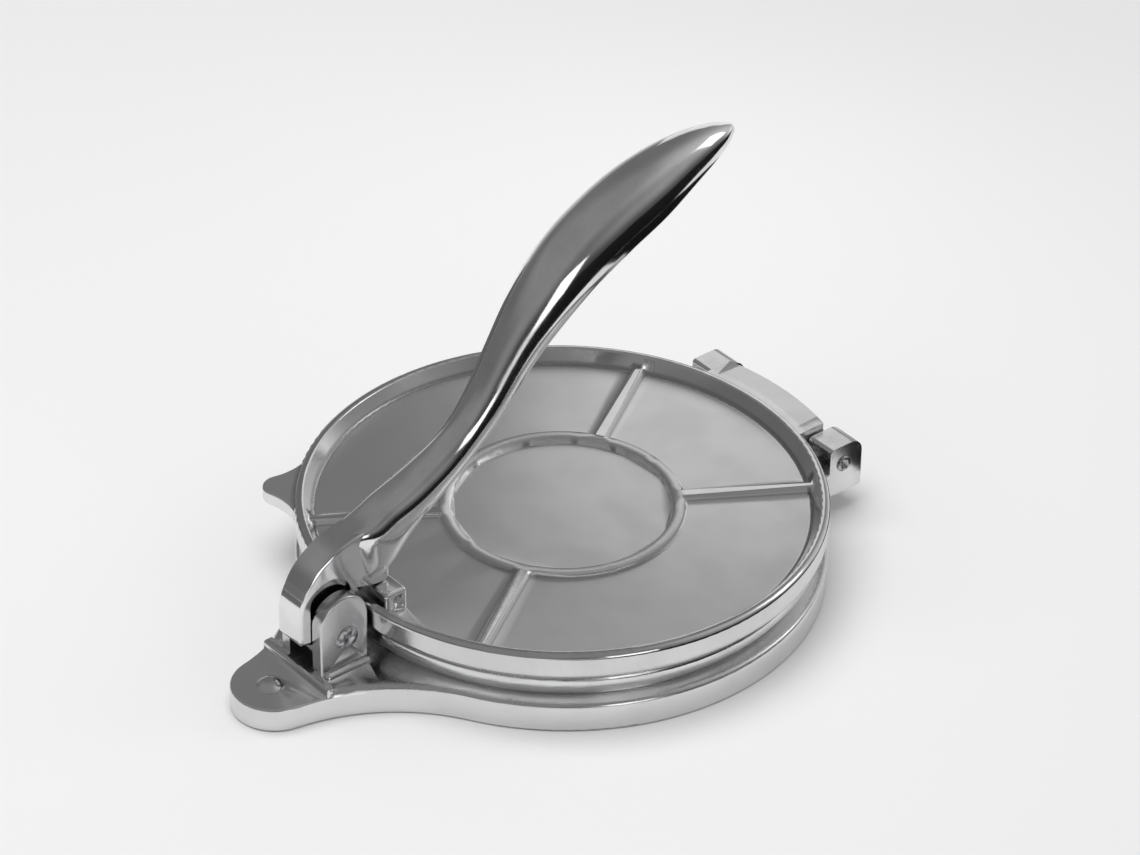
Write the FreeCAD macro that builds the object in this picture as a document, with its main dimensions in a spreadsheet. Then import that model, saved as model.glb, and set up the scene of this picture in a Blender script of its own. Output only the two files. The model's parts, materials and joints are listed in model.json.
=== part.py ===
"""Tortilla press: a cast base, a hinged upper plate and a lever handle on two steel pins.

Lengths are in millimetres and angles in degrees. The sketches are drawn about the axis of the
round plates, with +X towards the hinge, +Y across the press and +Z up. Every piece is then
moved along X, so that the frame's origin is the middle of the footprint.
"""

import FreeCAD, Part
import math
import os
import re

import Sketcher

Vector = FreeCAD.Vector

# Name, number or formula, and what it measures. What follows another size is a formula.
SIZES = (
    # Upper plate
    ("plate_radius", 102.0, "outer radius of the upper plate"),
    ("plate_height", 11.4, "pressing face to rim top"),
    ("plate_web", 5.6, "thickness of the floor inside the rim"),
    ("plate_gap", 0.3, "closed gap between the two pressing faces"),
    ("rim_flat", 0.1, "flat between the two roundings on top of the rim"),
    ("rim_width", "rim_round + rim_inner_round + rim_flat", "flat top of the rim"),
    ("rim_slope", 3.6, "run of the rim's inner slope"),
    ("rim_round", 2.3, "rounding of the rim's top outer edge"),
    ("rim_inner_round", 1.0, "rounding of the rim's top inner edge"),
    ("seam_round", 3.0, "rounding of the edges that face each other at the seam"),
    ("ring_outer", 48.0, "outer radius of the raised ring"),
    ("ring_width", 6.6, "width of the raised ring at its foot"),
    ("ring_height", 1.6, "height of the raised ring"),
    ("ring_bevel", 1.3, "run of the ring's sides"),
    ("dish_drop", 0.5, "depth of the disc inside the ring below the floor"),
    ("spoke_angle", 32.0, "angle of each spoke from the long axis"),
    ("spoke_width", 6.0, "width of a spoke at its foot"),
    ("spoke_height", 1.9, "height of a spoke above the floor"),
    ("spoke_taper", 35.0, "slope of a spoke's sides"),
    ("tab_half_width", 27.5, "half the width of the hinge tab"),
    ("tab_overhang", 10.3, "plate's edge to the hinge tab's rear edge"),
    ("tab_reach", "plate_radius + tab_overhang", "radius of the hinge tab's rear edge"),
    ("tab_height", 8.4, "thickness of the hinge tab"),
    ("knuckle_radius", 5.5, "radius of the tab's knuckle round the hinge pin"),
    ("lift_angle", 137.0, "direction of the finger tab"),
    ("lift_reach", 6.0, "plate's edge to the centre of the finger tab's tip"),
    ("lift_distance", "plate_radius + lift_reach", "plate axis to the centre of the finger tab's tip"),
    ("lift_tip_radius", 6.5, "radius of the finger tab's tip"),
    ("lift_blend", 25.0, "concave radius between finger tab and rim"),
    ("lift_height", "plate_height - lift_drop - seam_round", "thickness of the finger tab"),
    ("lift_step", 0.1, "rim's straight wall above the finger tab"),
    ("lift_drop", "rim_round + lift_step", "rim top to the top of the finger tab"),
    ("lift_round", 1.0, "rounding of the finger tab's edges"),
    ("lug_inset", 6.0, "plate's edge to the front face of the press lug"),
    ("lug_reach", "plate_radius - lug_inset - lug_length / 2", "plate axis to the middle of the press lug"),
    ("lug_length", 10.0, "length of the press lug along the press"),
    ("lug_half_width", 14.5, "half the width of the press lug"),
    ("lug_height", 3.7, "height of the press lug above the rim"),
    ("lug_round", 1.4, "rounding of the press lug"),
    ("lug_hole_radius", 1.8, "radius of the blind hole in each end of the lug"),
    ("lug_hole_depth", 4.0, "depth of the blind hole in each end of the lug"),
    # Base casting
    ("base_radius", "plate_radius", "outer radius of the skirt"),
    ("base_top", 23.3, "height of the lower pressing face"),
    ("disc_inset", 3.0, "edge of the upper plate to the edge of the lower disc"),
    ("disc_radius", "plate_radius - disc_inset", "outer radius of the lower pressing disc"),
    ("disc_web", 6.0, "thickness of the lower pressing disc"),
    ("disc_edge", 5.2, "height of the disc's upright edge"),
    ("waist_depth", 7.0, "edge of the skirt to the neck above it"),
    ("waist_radius", "base_radius - waist_depth", "radius of the neck between disc and skirt"),
    ("skirt_height", 12.5, "height of the skirt and of the tongue's rear part"),
    ("skirt_wall", 6.0, "wall of the skirt and the tongue"),
    ("skirt_round", 4.0, "rounding of the skirt's shoulder"),
    ("foot_round", 1.2, "rounding of the skirt's foot"),
    ("waist_wall", 6.5, "wall of the neck between disc and skirt"),
    ("cavity_radius", "waist_radius - waist_wall", "radius of the hollow under the disc"),
    ("cavity_step", 6.0, "height of the wider mouth of the hollow"),
    ("web_width", 4.0, "width of the webs under the disc"),
    ("web_foot", 6.0, "height of the webs' lower edge above the table"),
    ("tongue_reach", 34.5, "skirt's edge to the centre of the tongue's tip"),
    ("tongue_distance", "base_radius + tongue_reach", "plate axis to the centre of the tongue's tip"),
    ("tongue_tip_radius", 17.0, "radius of the tongue's tip"),
    ("tongue_blend", 76.0, "concave radius between tongue and skirt"),
    ("tongue_sink", 1.5, "foot of the shoulder's rounding up to the tongue's front part"),
    ("tongue_step", "skirt_round - tongue_sink", "step from the tongue's rear part down to its front"),
    ("tongue_height", "skirt_height - tongue_step", "height of the tongue in front of the cross bar"),
    ("tongue_round", 0.9, "rounding of the tongue's top edge"),
    ("bar_overlap", 0.8, "depth to which the cross bar runs into the bracket ears"),
    ("bar_distance", "pivot_distance + bracket_front + bar_width / 2 - bar_overlap",
     "plate axis to the middle of the cross bar"),
    ("bar_width", 3.8, "width of the cross bar along the press"),
    ("bar_overhang", 2.4, "half the cross bar less the radius of the tongue's tip"),
    ("bar_half_length", "tongue_tip_radius + bar_overhang", "half the length of the cross bar"),
    ("bar_height", 3.4, "height of the cross bar above the tongue"),
    ("bar_round", 1.2, "rounding of the cross bar's top front edge"),
    ("button_offset", 2.5, "centre of the tongue's tip to the button"),
    ("button_distance", "tongue_distance + button_offset", "plate axis to the button on the tongue"),
    ("button_sphere", 7.2, "radius of the button's dome"),
    ("button_height", 2.8, "height of the button above the tongue"),
    # Bracket and pivot of the handle
    ("pivot_offset", 10.5, "plate's edge to the handle's pivot"),
    ("pivot_distance", "plate_radius + pivot_offset", "plate axis to the handle's pivot"),
    ("pivot_rise", 3.2, "lower pressing face up to the handle's pivot"),
    ("pivot_height", "base_top + pivot_rise", "height of the handle's pivot"),
    ("pivot_pin_radius", 4.0, "radius of the pivot pin"),
    ("pivot_head_radius", "pivot_pin_radius + head_lip", "radius of the pivot pin's peened ends"),
    ("bracket_front", 12.0, "pivot to the front edge of a bracket ear"),
    ("bracket_back", 9.7, "pivot to the rear edge of a bracket ear"),
    ("bracket_rise", 18.5, "pivot to the top of a bracket ear"),
    ("bracket_top", "pivot_height + bracket_rise", "height of a bracket ear"),
    ("bracket_sink", 2.0, "depth to which a bracket ear is rooted in the tongue"),
    ("bracket_foot", "tongue_height - bracket_sink",
     "height at which a bracket ear is rooted in the tongue"),
    ("root_side_gap", 0.5, "gap between the handle's root and each bracket ear"),
    ("bracket_gap", "root_width + 2 * root_side_gap", "gap between the bracket ears"),
    ("bracket_ear", 5.2, "thickness of a bracket ear"),
    ("bracket_round", 0.8, "rounding of a bracket ear's outer edge"),
    # Hinge of the upper plate
    ("hinge_offset", 6.0, "plate's edge to the hinge pin"),
    ("hinge_distance", "plate_radius + hinge_offset", "plate axis to the hinge pin"),
    ("hinge_rise", 0.2, "lower pressing face up to the hinge pin"),
    ("hinge_height", "base_top + hinge_rise", "height of the hinge pin"),
    ("hinge_pin_radius", 2.5, "radius of the hinge pin"),
    ("hinge_head_radius", "hinge_pin_radius + head_lip", "radius of the hinge pin's peened ends"),
    ("hinge_ear", 12.5, "thickness of a hinge ear"),
    ("hinge_root_depth", 9.0, "depth to which a hinge ear runs into the base"),
    ("hinge_ear_root", "waist_radius - hinge_root_depth", "plate axis to the inner end of a hinge ear"),
    ("hinge_ahead", 7.0, "hinge pin to the front face of its ears"),
    ("hinge_ear_front", "hinge_distance - hinge_ahead", "plate axis to the front face of a hinge ear"),
    ("hinge_behind", 9.5, "hinge pin to the rear face of its ears"),
    ("hinge_ear_back", "hinge_distance + hinge_behind", "plate axis to the rear face of a hinge ear"),
    ("hinge_ear_rise", 8.5, "hinge pin to the top of its ears"),
    ("hinge_ear_top", "hinge_height + hinge_ear_rise", "height of a hinge ear"),
    ("hinge_step_drop", 2.3, "lower pressing face down to the ears' root"),
    ("hinge_ear_step", "base_top - hinge_step_drop", "height of a hinge ear's root under the plate"),
    ("hinge_foot_drop", 2.5, "skirt's top down to the ears' underside"),
    ("hinge_ear_foot", "skirt_height - hinge_foot_drop", "height of a hinge ear's underside"),
    ("hinge_ear_round", 6.0, "rounding of a hinge ear's top rear edge"),
    ("hinge_ear_edge", 1.5, "rounding of a hinge ear's other edges along the pin"),
    ("hinge_side_gap", 0.8, "gap between the hinge tab and each hinge ear"),
    # Pins
    ("head_height", 0.9, "height of a peened end above its ear"),
    ("head_lip", 0.8, "radius of a peened end less its pin's"),
    ("head_bevel", 0.5, "bevel of a peened end"),
    ("fixed_fit", 0.02, "radial clearance of a pin in its ear"),
    ("running_fit", 0.08, "radial clearance of a pin in the moving piece"),
    # Handle
    ("root_width", 13.0, "width of the handle's root between the ears"),
    ("hub_radius", 9.4, "radius of the hub round the pivot pin"),
    ("heel_reach", 17.5, "pivot to the front of the heel"),
    ("heel_notch", 4.0, "heel's front to the front of the sunken floor between the ears"),
    ("crown_height", 38.5, "pivot to the top of the root"),
    ("nose_overlap", 3.0, "how far the pressing nose runs past the lug's middle"),
    ("press_reach", "pivot_distance - lug_reach + nose_overlap",
     "pivot to the rear of the pressing nose"),
    ("press_gap", 0.3, "gap between pressing nose and lug"),
    ("root_round", 22.0, "radius of the root's rounded front and crown"),
    ("nose_round", 2.5, "rounding of the pressing nose and the heel"),
    ("root_edge", 1.0, "bevel along the root's flanks"),
    ("relief_depth", 1.6, "depth of the relief in each flank"),
    ("relief_radius", 9.2, "radius of the relief's arch"),
    ("relief_offset", 3.0, "pivot to the middle of the relief, along the press"),
    ("relief_rise", 15.0, "pivot to the centre of the relief's arch"),
    ("boss_radius", 7.4, "radius of the bearing boss inside the relief"),
    ("handle_reach", 193.0, "pivot to the handle's tip, along the press"),
    ("handle_rise", 141.0, "pivot to the handle's tip, upwards"),
    ("grip_radius", 14.5, "radius of the grip where it is fattest"),
)

# Places that follow from the sizes
PLATE_X = "((tongue_distance + tongue_tip_radius - hinge_ear_back) / 2)"
PLATE_BOTTOM = "(base_top + plate_gap)"
PLATE_TOP = "(base_top + plate_gap + plate_height)"
PLATE_FLOOR = "(base_top + plate_gap + plate_web)"
LUG_TOP = "(base_top + plate_gap + plate_height + lug_height)"
BRACKET_OUTER = "(bracket_gap / 2 + bracket_ear)"
HINGE_INNER = "(tab_half_width + hinge_side_gap)"
HINGE_OUTER = "(tab_half_width + hinge_side_gap + hinge_ear)"
NOSE_BOTTOM = f"({LUG_TOP} + press_gap - pivot_height)"

# Handle sections from the root to the tip: how far along, how high, lean in degrees, and half
# depth and half width. They are shares of the handle's reach, its rise and the grip's radius.
SECTION_SHARES = (
    (0.093, 0.194, 17.5, 0.860, 0.620),
    (0.156, 0.253, 28.0, 0.720, 0.620),
    (0.238, 0.314, 30.0, 0.605, 0.588),
    (0.321, 0.387, 39.0, 0.545, 0.530),
    (0.390, 0.485, 49.0, 0.602, 0.590),
    (0.445, 0.590, 53.5, 0.685, 0.670),
    (0.507, 0.692, 47.5, 0.823, 0.807),
    (0.585, 0.789, 37.5, 0.940, 0.921),
    (0.679, 0.864, 27.5, 0.972, 0.953),
    (0.777, 0.919, 20.5, 0.922, 0.906),
    (0.865, 0.960, 16.0, 0.755, 0.740),
    (0.933, 0.981, 13.5, 0.563, 0.548),
    (0.977, 0.995, 12.0, 0.345, 0.335),
    (1.000, 1.000, 11.0, 0.110, 0.105),
)

# The root's rounding is at most this share of the root's height
ROUNDING_SHARE = 0.6

# Lengths that differ by less count as the same when edges are picked
SAME = 0.01

ALIASES = {name for name, _, _ in SIZES}

doc = FreeCAD.newDocument("TortillaPress")
sheet = doc.addObject("Spreadsheet::Sheet", "Sizes")
for row, (name, number, note) in enumerate(SIZES, start=1):
    sheet.set(f"A{row}", name)
    sheet.set(f"C{row}", note)
    sheet.setAlias(f"B{row}", name)
for row, (name, number, note) in enumerate(SIZES, start=1):
    sheet.set(f"B{row}", f"={number}")
doc.recompute()


def linked(text):
    """The expression with each size's name pointed at the spreadsheet."""
    return re.sub(r"\b[a-z_]+\b", lambda m: f"Sizes.{m[0]}" if m[0] in ALIASES else m[0], text)


def value(text):
    """The number that an expression gives now."""
    return float(sheet.evalExpression(linked(text)))


def bind(obj, **expressions):
    """Tie properties of an object to sizes; two underscores stand for a dot."""
    for prop, text in expressions.items():
        obj.setExpression(prop.replace("__", "."), linked(text))


def new_body(label):
    """An empty body, moved so that the footprint's middle is the origin."""
    body = doc.addObject("PartDesign::Body", label)
    body.Label = label
    bind(body, Placement__Base__x=PLATE_X)
    return body


def new_sketch(body, name, plane, offset="0", turn="0"):
    """A sketch on one of the body's origin planes, offset along its normal and turned in it."""
    sketch = body.newObject("Sketcher::SketchObject", name)
    support = next(o for o in body.Origin.OriginFeatures if o.Role == plane)
    sketch.AttachmentSupport = [(support, "")]
    sketch.MapMode = "FlatFace"
    bind(sketch, AttachmentOffset__Base__z=offset, AttachmentOffset__Rotation__Angle=turn)
    return sketch


def fix(sketch, kind, geometry, point, text):
    """One distance of a sketch point from the sketch's origin."""
    index = sketch.addConstraint(
        Sketcher.Constraint(kind, -1, 1, geometry, point, value(text)))
    sketch.setExpression(f"Constraints[{index}]", linked(text))


def set_radius(sketch, geometry, text):
    """The radius of a circle or an arc."""
    index = sketch.addConstraint(Sketcher.Constraint("Radius", geometry, value(text)))
    sketch.setExpression(f"Constraints[{index}]", linked(text))


def polygon(sketch, corners):
    """A closed outline through corners, each a pair of expressions."""
    points = [Vector(value(x), value(y), 0) for x, y in corners]
    count = len(points)
    first = sketch.GeometryCount
    for i, point in enumerate(points):
        sketch.addGeometry(Part.LineSegment(point, points[(i + 1) % count]), False)
    for i, (x, y) in enumerate(corners):
        following = first + (i + 1) % count
        sketch.addConstraint(Sketcher.Constraint("Coincident", first + i, 2, following, 1))
        fix(sketch, "DistanceX", first + i, 1, x)
        fix(sketch, "DistanceY", first + i, 1, y)


def circle(sketch, x, y, radius):
    """A circle with its centre at two expressions."""
    centre = Vector(value(x), value(y), 0)
    index = sketch.addGeometry(Part.Circle(centre, Vector(0, 0, 1), value(radius)), False)
    fix(sketch, "DistanceX", index, 3, x)
    fix(sketch, "DistanceY", index, 3, y)
    set_radius(sketch, index, radius)


def arc(centre, radius, start, end):
    """A circular arc drawn anticlockwise between two angles in radians."""
    return Part.ArcOfCircle(Part.Circle(centre, Vector(0, 0, 1), radius), start, end)


def lobe(sketch, disc, distance, tip, blend):
    """A round-tipped tab along +X of a disc, with concave arcs tangent to both.

    The disc's own arc is a construction line, and a chord closes the outline inside the disc.
    """
    disc_r, reach, tip_r, blend_r = (value(text) for text in (disc, distance, tip, blend))
    x = (reach ** 2 + (disc_r + blend_r) ** 2 - (tip_r + blend_r) ** 2) / (2 * reach)
    y = math.sqrt((disc_r + blend_r) ** 2 - x ** 2)
    on_disc = math.atan2(y, x)
    on_tip = math.atan2(y, x - reach)
    to_tip = math.atan2(y, reach - x)
    edge, right, left, end, chord = range(5)
    sketch.addGeometry(arc(Vector(0, 0, 0), disc_r, -on_disc, on_disc), True)
    sketch.addGeometry(arc(Vector(x, -y, 0), blend_r, to_tip, math.pi - on_disc), False)
    sketch.addGeometry(
        arc(Vector(x, y, 0), blend_r, math.pi + on_disc, 2 * math.pi - to_tip), False)
    sketch.addGeometry(arc(Vector(reach, 0, 0), tip_r, -on_tip, on_tip), False)
    corner = Vector(disc_r * math.cos(on_disc), disc_r * math.sin(on_disc), 0)
    mirrored = Vector(corner.x, -corner.y, 0)
    sketch.addGeometry(Part.LineSegment(corner, mirrored), False)
    for pair in ((edge, 1, right, 2), (right, 1, end, 1), (end, 2, left, 2), (left, 1, edge, 2)):
        sketch.addConstraint(Sketcher.Constraint("Tangent", *pair))
    sketch.addConstraint(Sketcher.Constraint("Coincident", chord, 1, left, 1))
    sketch.addConstraint(Sketcher.Constraint("Coincident", chord, 2, right, 2))
    sketch.addConstraint(Sketcher.Constraint("Coincident", edge, 3, -1, 1))
    fix(sketch, "DistanceX", end, 3, distance)
    fix(sketch, "DistanceY", end, 3, "0")
    for index, radius in ((edge, disc), (right, blend), (left, blend), (end, tip)):
        set_radius(sketch, index, radius)


def arched(sketch, back, front, foot, top):
    """An upright outline with a flat foot and a full round top."""
    low, high = value(back), value(front)
    radius = (high - low) / 2
    spring = value(top) - radius
    middle = (low + high) / 2
    corners = (Vector(low, value(foot), 0), Vector(high, value(foot), 0))
    shoulders = (Vector(low, spring, 0), Vector(high, spring, 0))
    sketch.addGeometry(Part.LineSegment(corners[0], corners[1]), False)
    sketch.addGeometry(Part.LineSegment(corners[1], shoulders[1]), False)
    sketch.addGeometry(arc(Vector(middle, spring, 0), radius, 0, math.pi), False)
    sketch.addGeometry(Part.LineSegment(shoulders[0], corners[0]), False)
    sketch.addConstraint(Sketcher.Constraint("Coincident", 0, 2, 1, 1))
    sketch.addConstraint(Sketcher.Constraint("Tangent", 1, 2, 2, 1))
    sketch.addConstraint(Sketcher.Constraint("Tangent", 2, 2, 3, 1))
    sketch.addConstraint(Sketcher.Constraint("Coincident", 3, 2, 0, 1))
    sketch.addConstraint(Sketcher.Constraint("Vertical", 1))
    sketch.addConstraint(Sketcher.Constraint("Horizontal", 0))
    fix(sketch, "DistanceX", 0, 1, back)
    fix(sketch, "DistanceY", 0, 1, foot)
    fix(sketch, "DistanceX", 0, 2, front)
    fix(sketch, "DistanceY", 2, 3, f"{top} - ({front} - ({back})) / 2")


def pad(body, sketch, length, both_ways=False, taper=None):
    """Material from a sketch along its normal."""
    feature = body.newObject("PartDesign::Pad", f"{sketch.Name}_pad")
    feature.Profile = sketch
    feature.Midplane = both_ways
    bind(feature, Length=length)
    if taper:
        bind(feature, TaperAngle=taper)
    return feature


def pocket(body, sketch, length, both_ways=False):
    """A cut from a sketch against its normal."""
    feature = body.newObject("PartDesign::Pocket", f"{sketch.Name}_pocket")
    feature.Profile = sketch
    feature.Midplane = both_ways
    bind(feature, Length=length)
    return feature


def revolve(body, sketch):
    """Material from a profile turned about the sketch's upright axis."""
    feature = body.newObject("PartDesign::Revolution", f"{sketch.Name}_turned")
    feature.Profile = sketch
    feature.ReferenceAxis = (sketch, ["V_Axis"])
    return feature


def mirror(body, feature, plane="XZ_Plane"):
    """The feature again on the other side of one of the body's origin planes."""
    copy = body.newObject("PartDesign::Mirrored", f"{feature.Name}_mirrored")
    copy.Originals = [feature]
    support = next(o for o in body.Origin.OriginFeatures if o.Role == plane)
    copy.MirrorPlane = (support, [""])
    body.Tip = copy
    return copy


def round_edges(body, name, radius, wanted):
    """A fillet on the body's edges for which wanted(edge) is true."""
    doc.recompute()
    base = body.Tip
    names = [f"Edge{i}" for i, edge in enumerate(base.Shape.Edges, start=1) if wanted(edge)]
    if not names:
        raise RuntimeError(f"{body.Label}: no edge to round for {name}")
    feature = body.newObject("PartDesign::Fillet", name)
    feature.Base = (base, names)
    bind(feature, Radius=radius)
    doc.recompute()
    return feature


def near(a, b):
    """Whether two lengths count as the same."""
    return abs(a - b) < SAME


def ring_edge(radius, height):
    """A test for whole circles about the plates' axis."""
    r, z = value(radius), value(height)

    def wanted(edge):
        curve = edge.Curve
        return (isinstance(curve, Part.Circle) and near(curve.Radius, r)
                and near(curve.Center.z, z) and near(curve.Center.x, 0)
                and near(curve.Center.y, 0))
    return wanted


def outline_edge(height):
    """A test for the level edges round the base's outline at a height."""
    z, radius = value(height), value("base_radius")

    def wanted(edge):
        box = edge.BoundBox
        middle = edge.valueAt((edge.FirstParameter + edge.LastParameter) / 2)
        return (near(box.ZMin, z) and near(box.ZMax, z)
                and not isinstance(edge.Curve, Part.Line)
                and math.hypot(middle.x, middle.y) > radius - SAME)
    return wanted


def cross_edge(*places):
    """A test for straight edges along Y at any of the places, each an X and a Z expression."""
    spots = [(value(x), value(z)) for x, z in places]

    def wanted(edge):
        box = edge.BoundBox
        return (box.XLength < SAME and box.ZLength < SAME and box.YLength > SAME
                and any(near(box.XMin, x) and near(box.ZMin, z) for x, z in spots))
    return wanted


def build_base():
    """The base casting: skirt, lower disc, webs, tongue, bracket ears and hinge ears."""
    body = new_body("base_casting")
    build_base_disc(body)
    build_base_webs(body)
    build_tongue(body)
    build_bracket(body)
    build_hinge_ears(body)
    return body


def build_base_disc(body):
    """The turned part of the base: a hollow skirt that carries the lower pressing disc."""
    under = "(base_top - disc_web)"
    mouth = "(base_radius - skirt_wall)"
    shoulder = "(base_top - disc_edge)"
    profile = new_sketch(body, "base_profile", "XZ_Plane")
    polygon(profile, (
        ("0", "base_top"), ("0", under), ("cavity_radius", under),
        ("cavity_radius", "cavity_step"), (mouth, "cavity_step"), (mouth, "0"),
        ("base_radius", "0"), ("base_radius", "skirt_height"), ("waist_radius", "skirt_height"),
        ("disc_radius", shoulder), ("disc_radius", "base_top")))
    revolve(body, profile)
    round_edges(body, "disc_rounding", "seam_round", ring_edge("disc_radius", "base_top"))


def build_base_webs(body):
    """Webs under the lower disc: two crossing bars and a ring, clear of the table."""
    depth = "base_top - disc_web - web_foot"
    for name, turn in (("web_bar_left", "spoke_angle"), ("web_bar_right", "-spoke_angle")):
        sketch = new_sketch(body, name, "XY_Plane", "web_foot", turn)
        reach = "(cavity_radius + waist_wall / 2)"
        half = "(web_width / 2)"
        polygon(sketch, ((f"-{reach}", f"-{half}"), (reach, f"-{half}"),
                         (reach, half), (f"-{reach}", half)))
        pad(body, sketch, depth)
    ring = new_sketch(body, "web_ring", "XY_Plane", "web_foot")
    circle(ring, "0", "0", "ring_outer")
    circle(ring, "0", "0", "ring_outer - web_width")
    pad(body, ring, depth)


def build_tongue(body):
    """The tongue in front of the skirt, its cross bar, its button and its hollow."""
    outline = new_sketch(body, "tongue", "XY_Plane", turn="180")
    lobe(outline, "base_radius", "tongue_distance", "tongue_tip_radius", "tongue_blend")
    pad(body, outline, "skirt_height")

    round_edges(body, "skirt_shoulder", "skirt_round", outline_edge("skirt_height"))
    round_edges(body, "skirt_foot", "foot_round", outline_edge("0"))

    front = new_sketch(body, "tongue_front", "XY_Plane", "skirt_height")
    far = "(tongue_distance + 2 * tongue_tip_radius)"
    wide = "(2 * tongue_tip_radius)"
    polygon(front, (("-bar_distance", f"-{wide}"), ("-bar_distance", wide),
                    (f"-{far}", wide), (f"-{far}", f"-{wide}")))
    pocket(body, front, "skirt_height - tongue_height")
    round_edges(body, "tongue_edge", "tongue_round", outline_edge("tongue_height"))

    hollow = new_sketch(body, "tongue_hollow", "XY_Plane", turn="180")
    lobe(hollow, "base_radius - skirt_wall", "tongue_distance",
         "tongue_tip_radius - skirt_wall", "tongue_blend + skirt_wall")
    cut = pocket(body, hollow, "cavity_step")
    cut.Reversed = True

    bar = new_sketch(body, "cross_bar", "XY_Plane", "tongue_height - tongue_round")
    half = "(bar_width / 2)"
    polygon(bar, ((f"-bar_distance - {half}", "-bar_half_length"),
                  (f"-bar_distance + {half}", "-bar_half_length"),
                  (f"-bar_distance + {half}", "bar_half_length"),
                  (f"-bar_distance - {half}", "bar_half_length")))
    pad(body, bar, "bar_height + tongue_round")
    round_edges(body, "cross_bar_edge", "bar_round",
                cross_edge((f"-bar_distance - {half}", "tongue_height + bar_height")))

    button = body.newObject("PartDesign::AdditiveSphere", "button")
    plane = next(o for o in body.Origin.OriginFeatures if o.Role == "XY_Plane")
    button.AttachmentSupport = [(plane, "")]
    button.MapMode = "FlatFace"
    button.Angle1 = 0
    bind(button, Radius="button_sphere", AttachmentOffset__Base__x="-button_distance",
         AttachmentOffset__Base__z="tongue_height + button_height - button_sphere")


def build_bracket(body):
    """Two upright ears that hold the handle's pivot pin, with a sunken floor between them."""
    front = "(-pivot_distance - bracket_front)"
    back = "(-pivot_distance + bracket_back)"
    ear = new_sketch(body, "bracket_ear_outline", "XZ_Plane", "bracket_gap / 2")
    arched(ear, front, back, "bracket_foot", "bracket_top")
    mirror(body, pad(body, ear, "bracket_ear"))

    outer, pivot = value(BRACKET_OUTER), value("pivot_height")

    def outer_rim(edge):
        box = edge.BoundBox
        return box.YLength < SAME and near(abs(box.YMin), outer) and box.ZMax > pivot
    round_edges(body, "bracket_edges", "bracket_round", outer_rim)

    floor = new_sketch(body, "bracket_floor", "XY_Plane", "bracket_top")
    half = "(bracket_gap / 2)"
    edge = "(-pivot_distance - heel_reach + heel_notch)"
    polygon(floor, ((edge, f"-{half}"), (back, f"-{half}"), (back, half), (edge, half)))
    pocket(body, floor, "bracket_top - tongue_height")

    bore = new_sketch(body, "pivot_bore", "XZ_Plane")
    circle(bore, "-pivot_distance", "pivot_height", "pivot_pin_radius + fixed_fit")
    pocket(body, bore, "4 * bracket_gap", both_ways=True)


def build_hinge_ears(body):
    """Two ears on the skirt that hold the hinge pin."""
    ear = new_sketch(body, "hinge_ear_outline", "XZ_Plane", HINGE_INNER)
    corners = (("hinge_ear_root", "hinge_ear_foot"), ("hinge_ear_back", "hinge_ear_foot"),
               ("hinge_ear_back", "hinge_ear_top"), ("hinge_ear_front", "hinge_ear_top"),
               ("hinge_ear_front", "hinge_ear_step"), ("hinge_ear_root", "hinge_ear_step"))
    polygon(ear, corners)
    mirror(body, pad(body, ear, "hinge_ear"))
    round_edges(body, "hinge_ear_top_rear", "hinge_ear_round", cross_edge(corners[2]))
    round_edges(body, "hinge_ear_others", "hinge_ear_edge", cross_edge(corners[1], corners[3]))

    bore = new_sketch(body, "hinge_bore", "XZ_Plane")
    circle(bore, "hinge_distance", "hinge_height", "hinge_pin_radius + fixed_fit")
    pocket(body, bore, f"4 * {HINGE_OUTER}", both_ways=True)


def build_plate():
    """The upper plate casting: dished disc, hinge tab, finger tab and press lug."""
    body = new_body("upper_plate")
    build_plate_disc(body)
    build_spokes(body)
    build_hinge_tab(body)
    build_finger_tab(body)
    build_press_lug(body)
    return body


def build_plate_disc(body):
    """The turned part of the plate: pressing face below, rim and raised ring above."""
    foot = "(plate_radius - rim_width - rim_slope)"
    lip = "(plate_radius - rim_width)"
    crest = f"({PLATE_FLOOR} + ring_height)"
    dish = f"({PLATE_FLOOR} - dish_drop)"
    profile = new_sketch(body, "plate_profile", "XZ_Plane")
    polygon(profile, (
        ("0", PLATE_BOTTOM), ("plate_radius", PLATE_BOTTOM), ("plate_radius", PLATE_TOP),
        (lip, PLATE_TOP), (foot, PLATE_FLOOR), ("ring_outer", PLATE_FLOOR),
        ("ring_outer - ring_bevel", crest), ("ring_outer - ring_width + ring_bevel", crest),
        ("ring_outer - ring_width", dish), ("0", dish)))
    revolve(body, profile)
    round_edges(body, "rim_edge", "rim_round", ring_edge("plate_radius", PLATE_TOP))
    round_edges(body, "rim_lip", "rim_inner_round", ring_edge(lip, PLATE_TOP))
    round_edges(body, "seam_edge", "seam_round", ring_edge("plate_radius", PLATE_BOTTOM))
    round_edges(body, "floor_fillet", "rim_slope / 2", ring_edge(foot, PLATE_FLOOR))


def build_spokes(body):
    """Four raised spokes from the ring to the rim."""
    inner = "(ring_outer - ring_width / 2)"
    outer = "(plate_radius - rim_width)"
    half = "(spoke_width / 2)"
    turns = ("spoke_angle", "180 - spoke_angle", "180 + spoke_angle", "-spoke_angle")
    for number, turn in enumerate(turns, start=1):
        spoke = new_sketch(body, f"spoke_{number}", "XY_Plane", PLATE_FLOOR, turn)
        polygon(spoke, ((inner, f"-{half}"), (outer, f"-{half}"), (outer, half), (inner, half)))
        pad(body, spoke, "spoke_height", taper="-spoke_taper")


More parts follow.
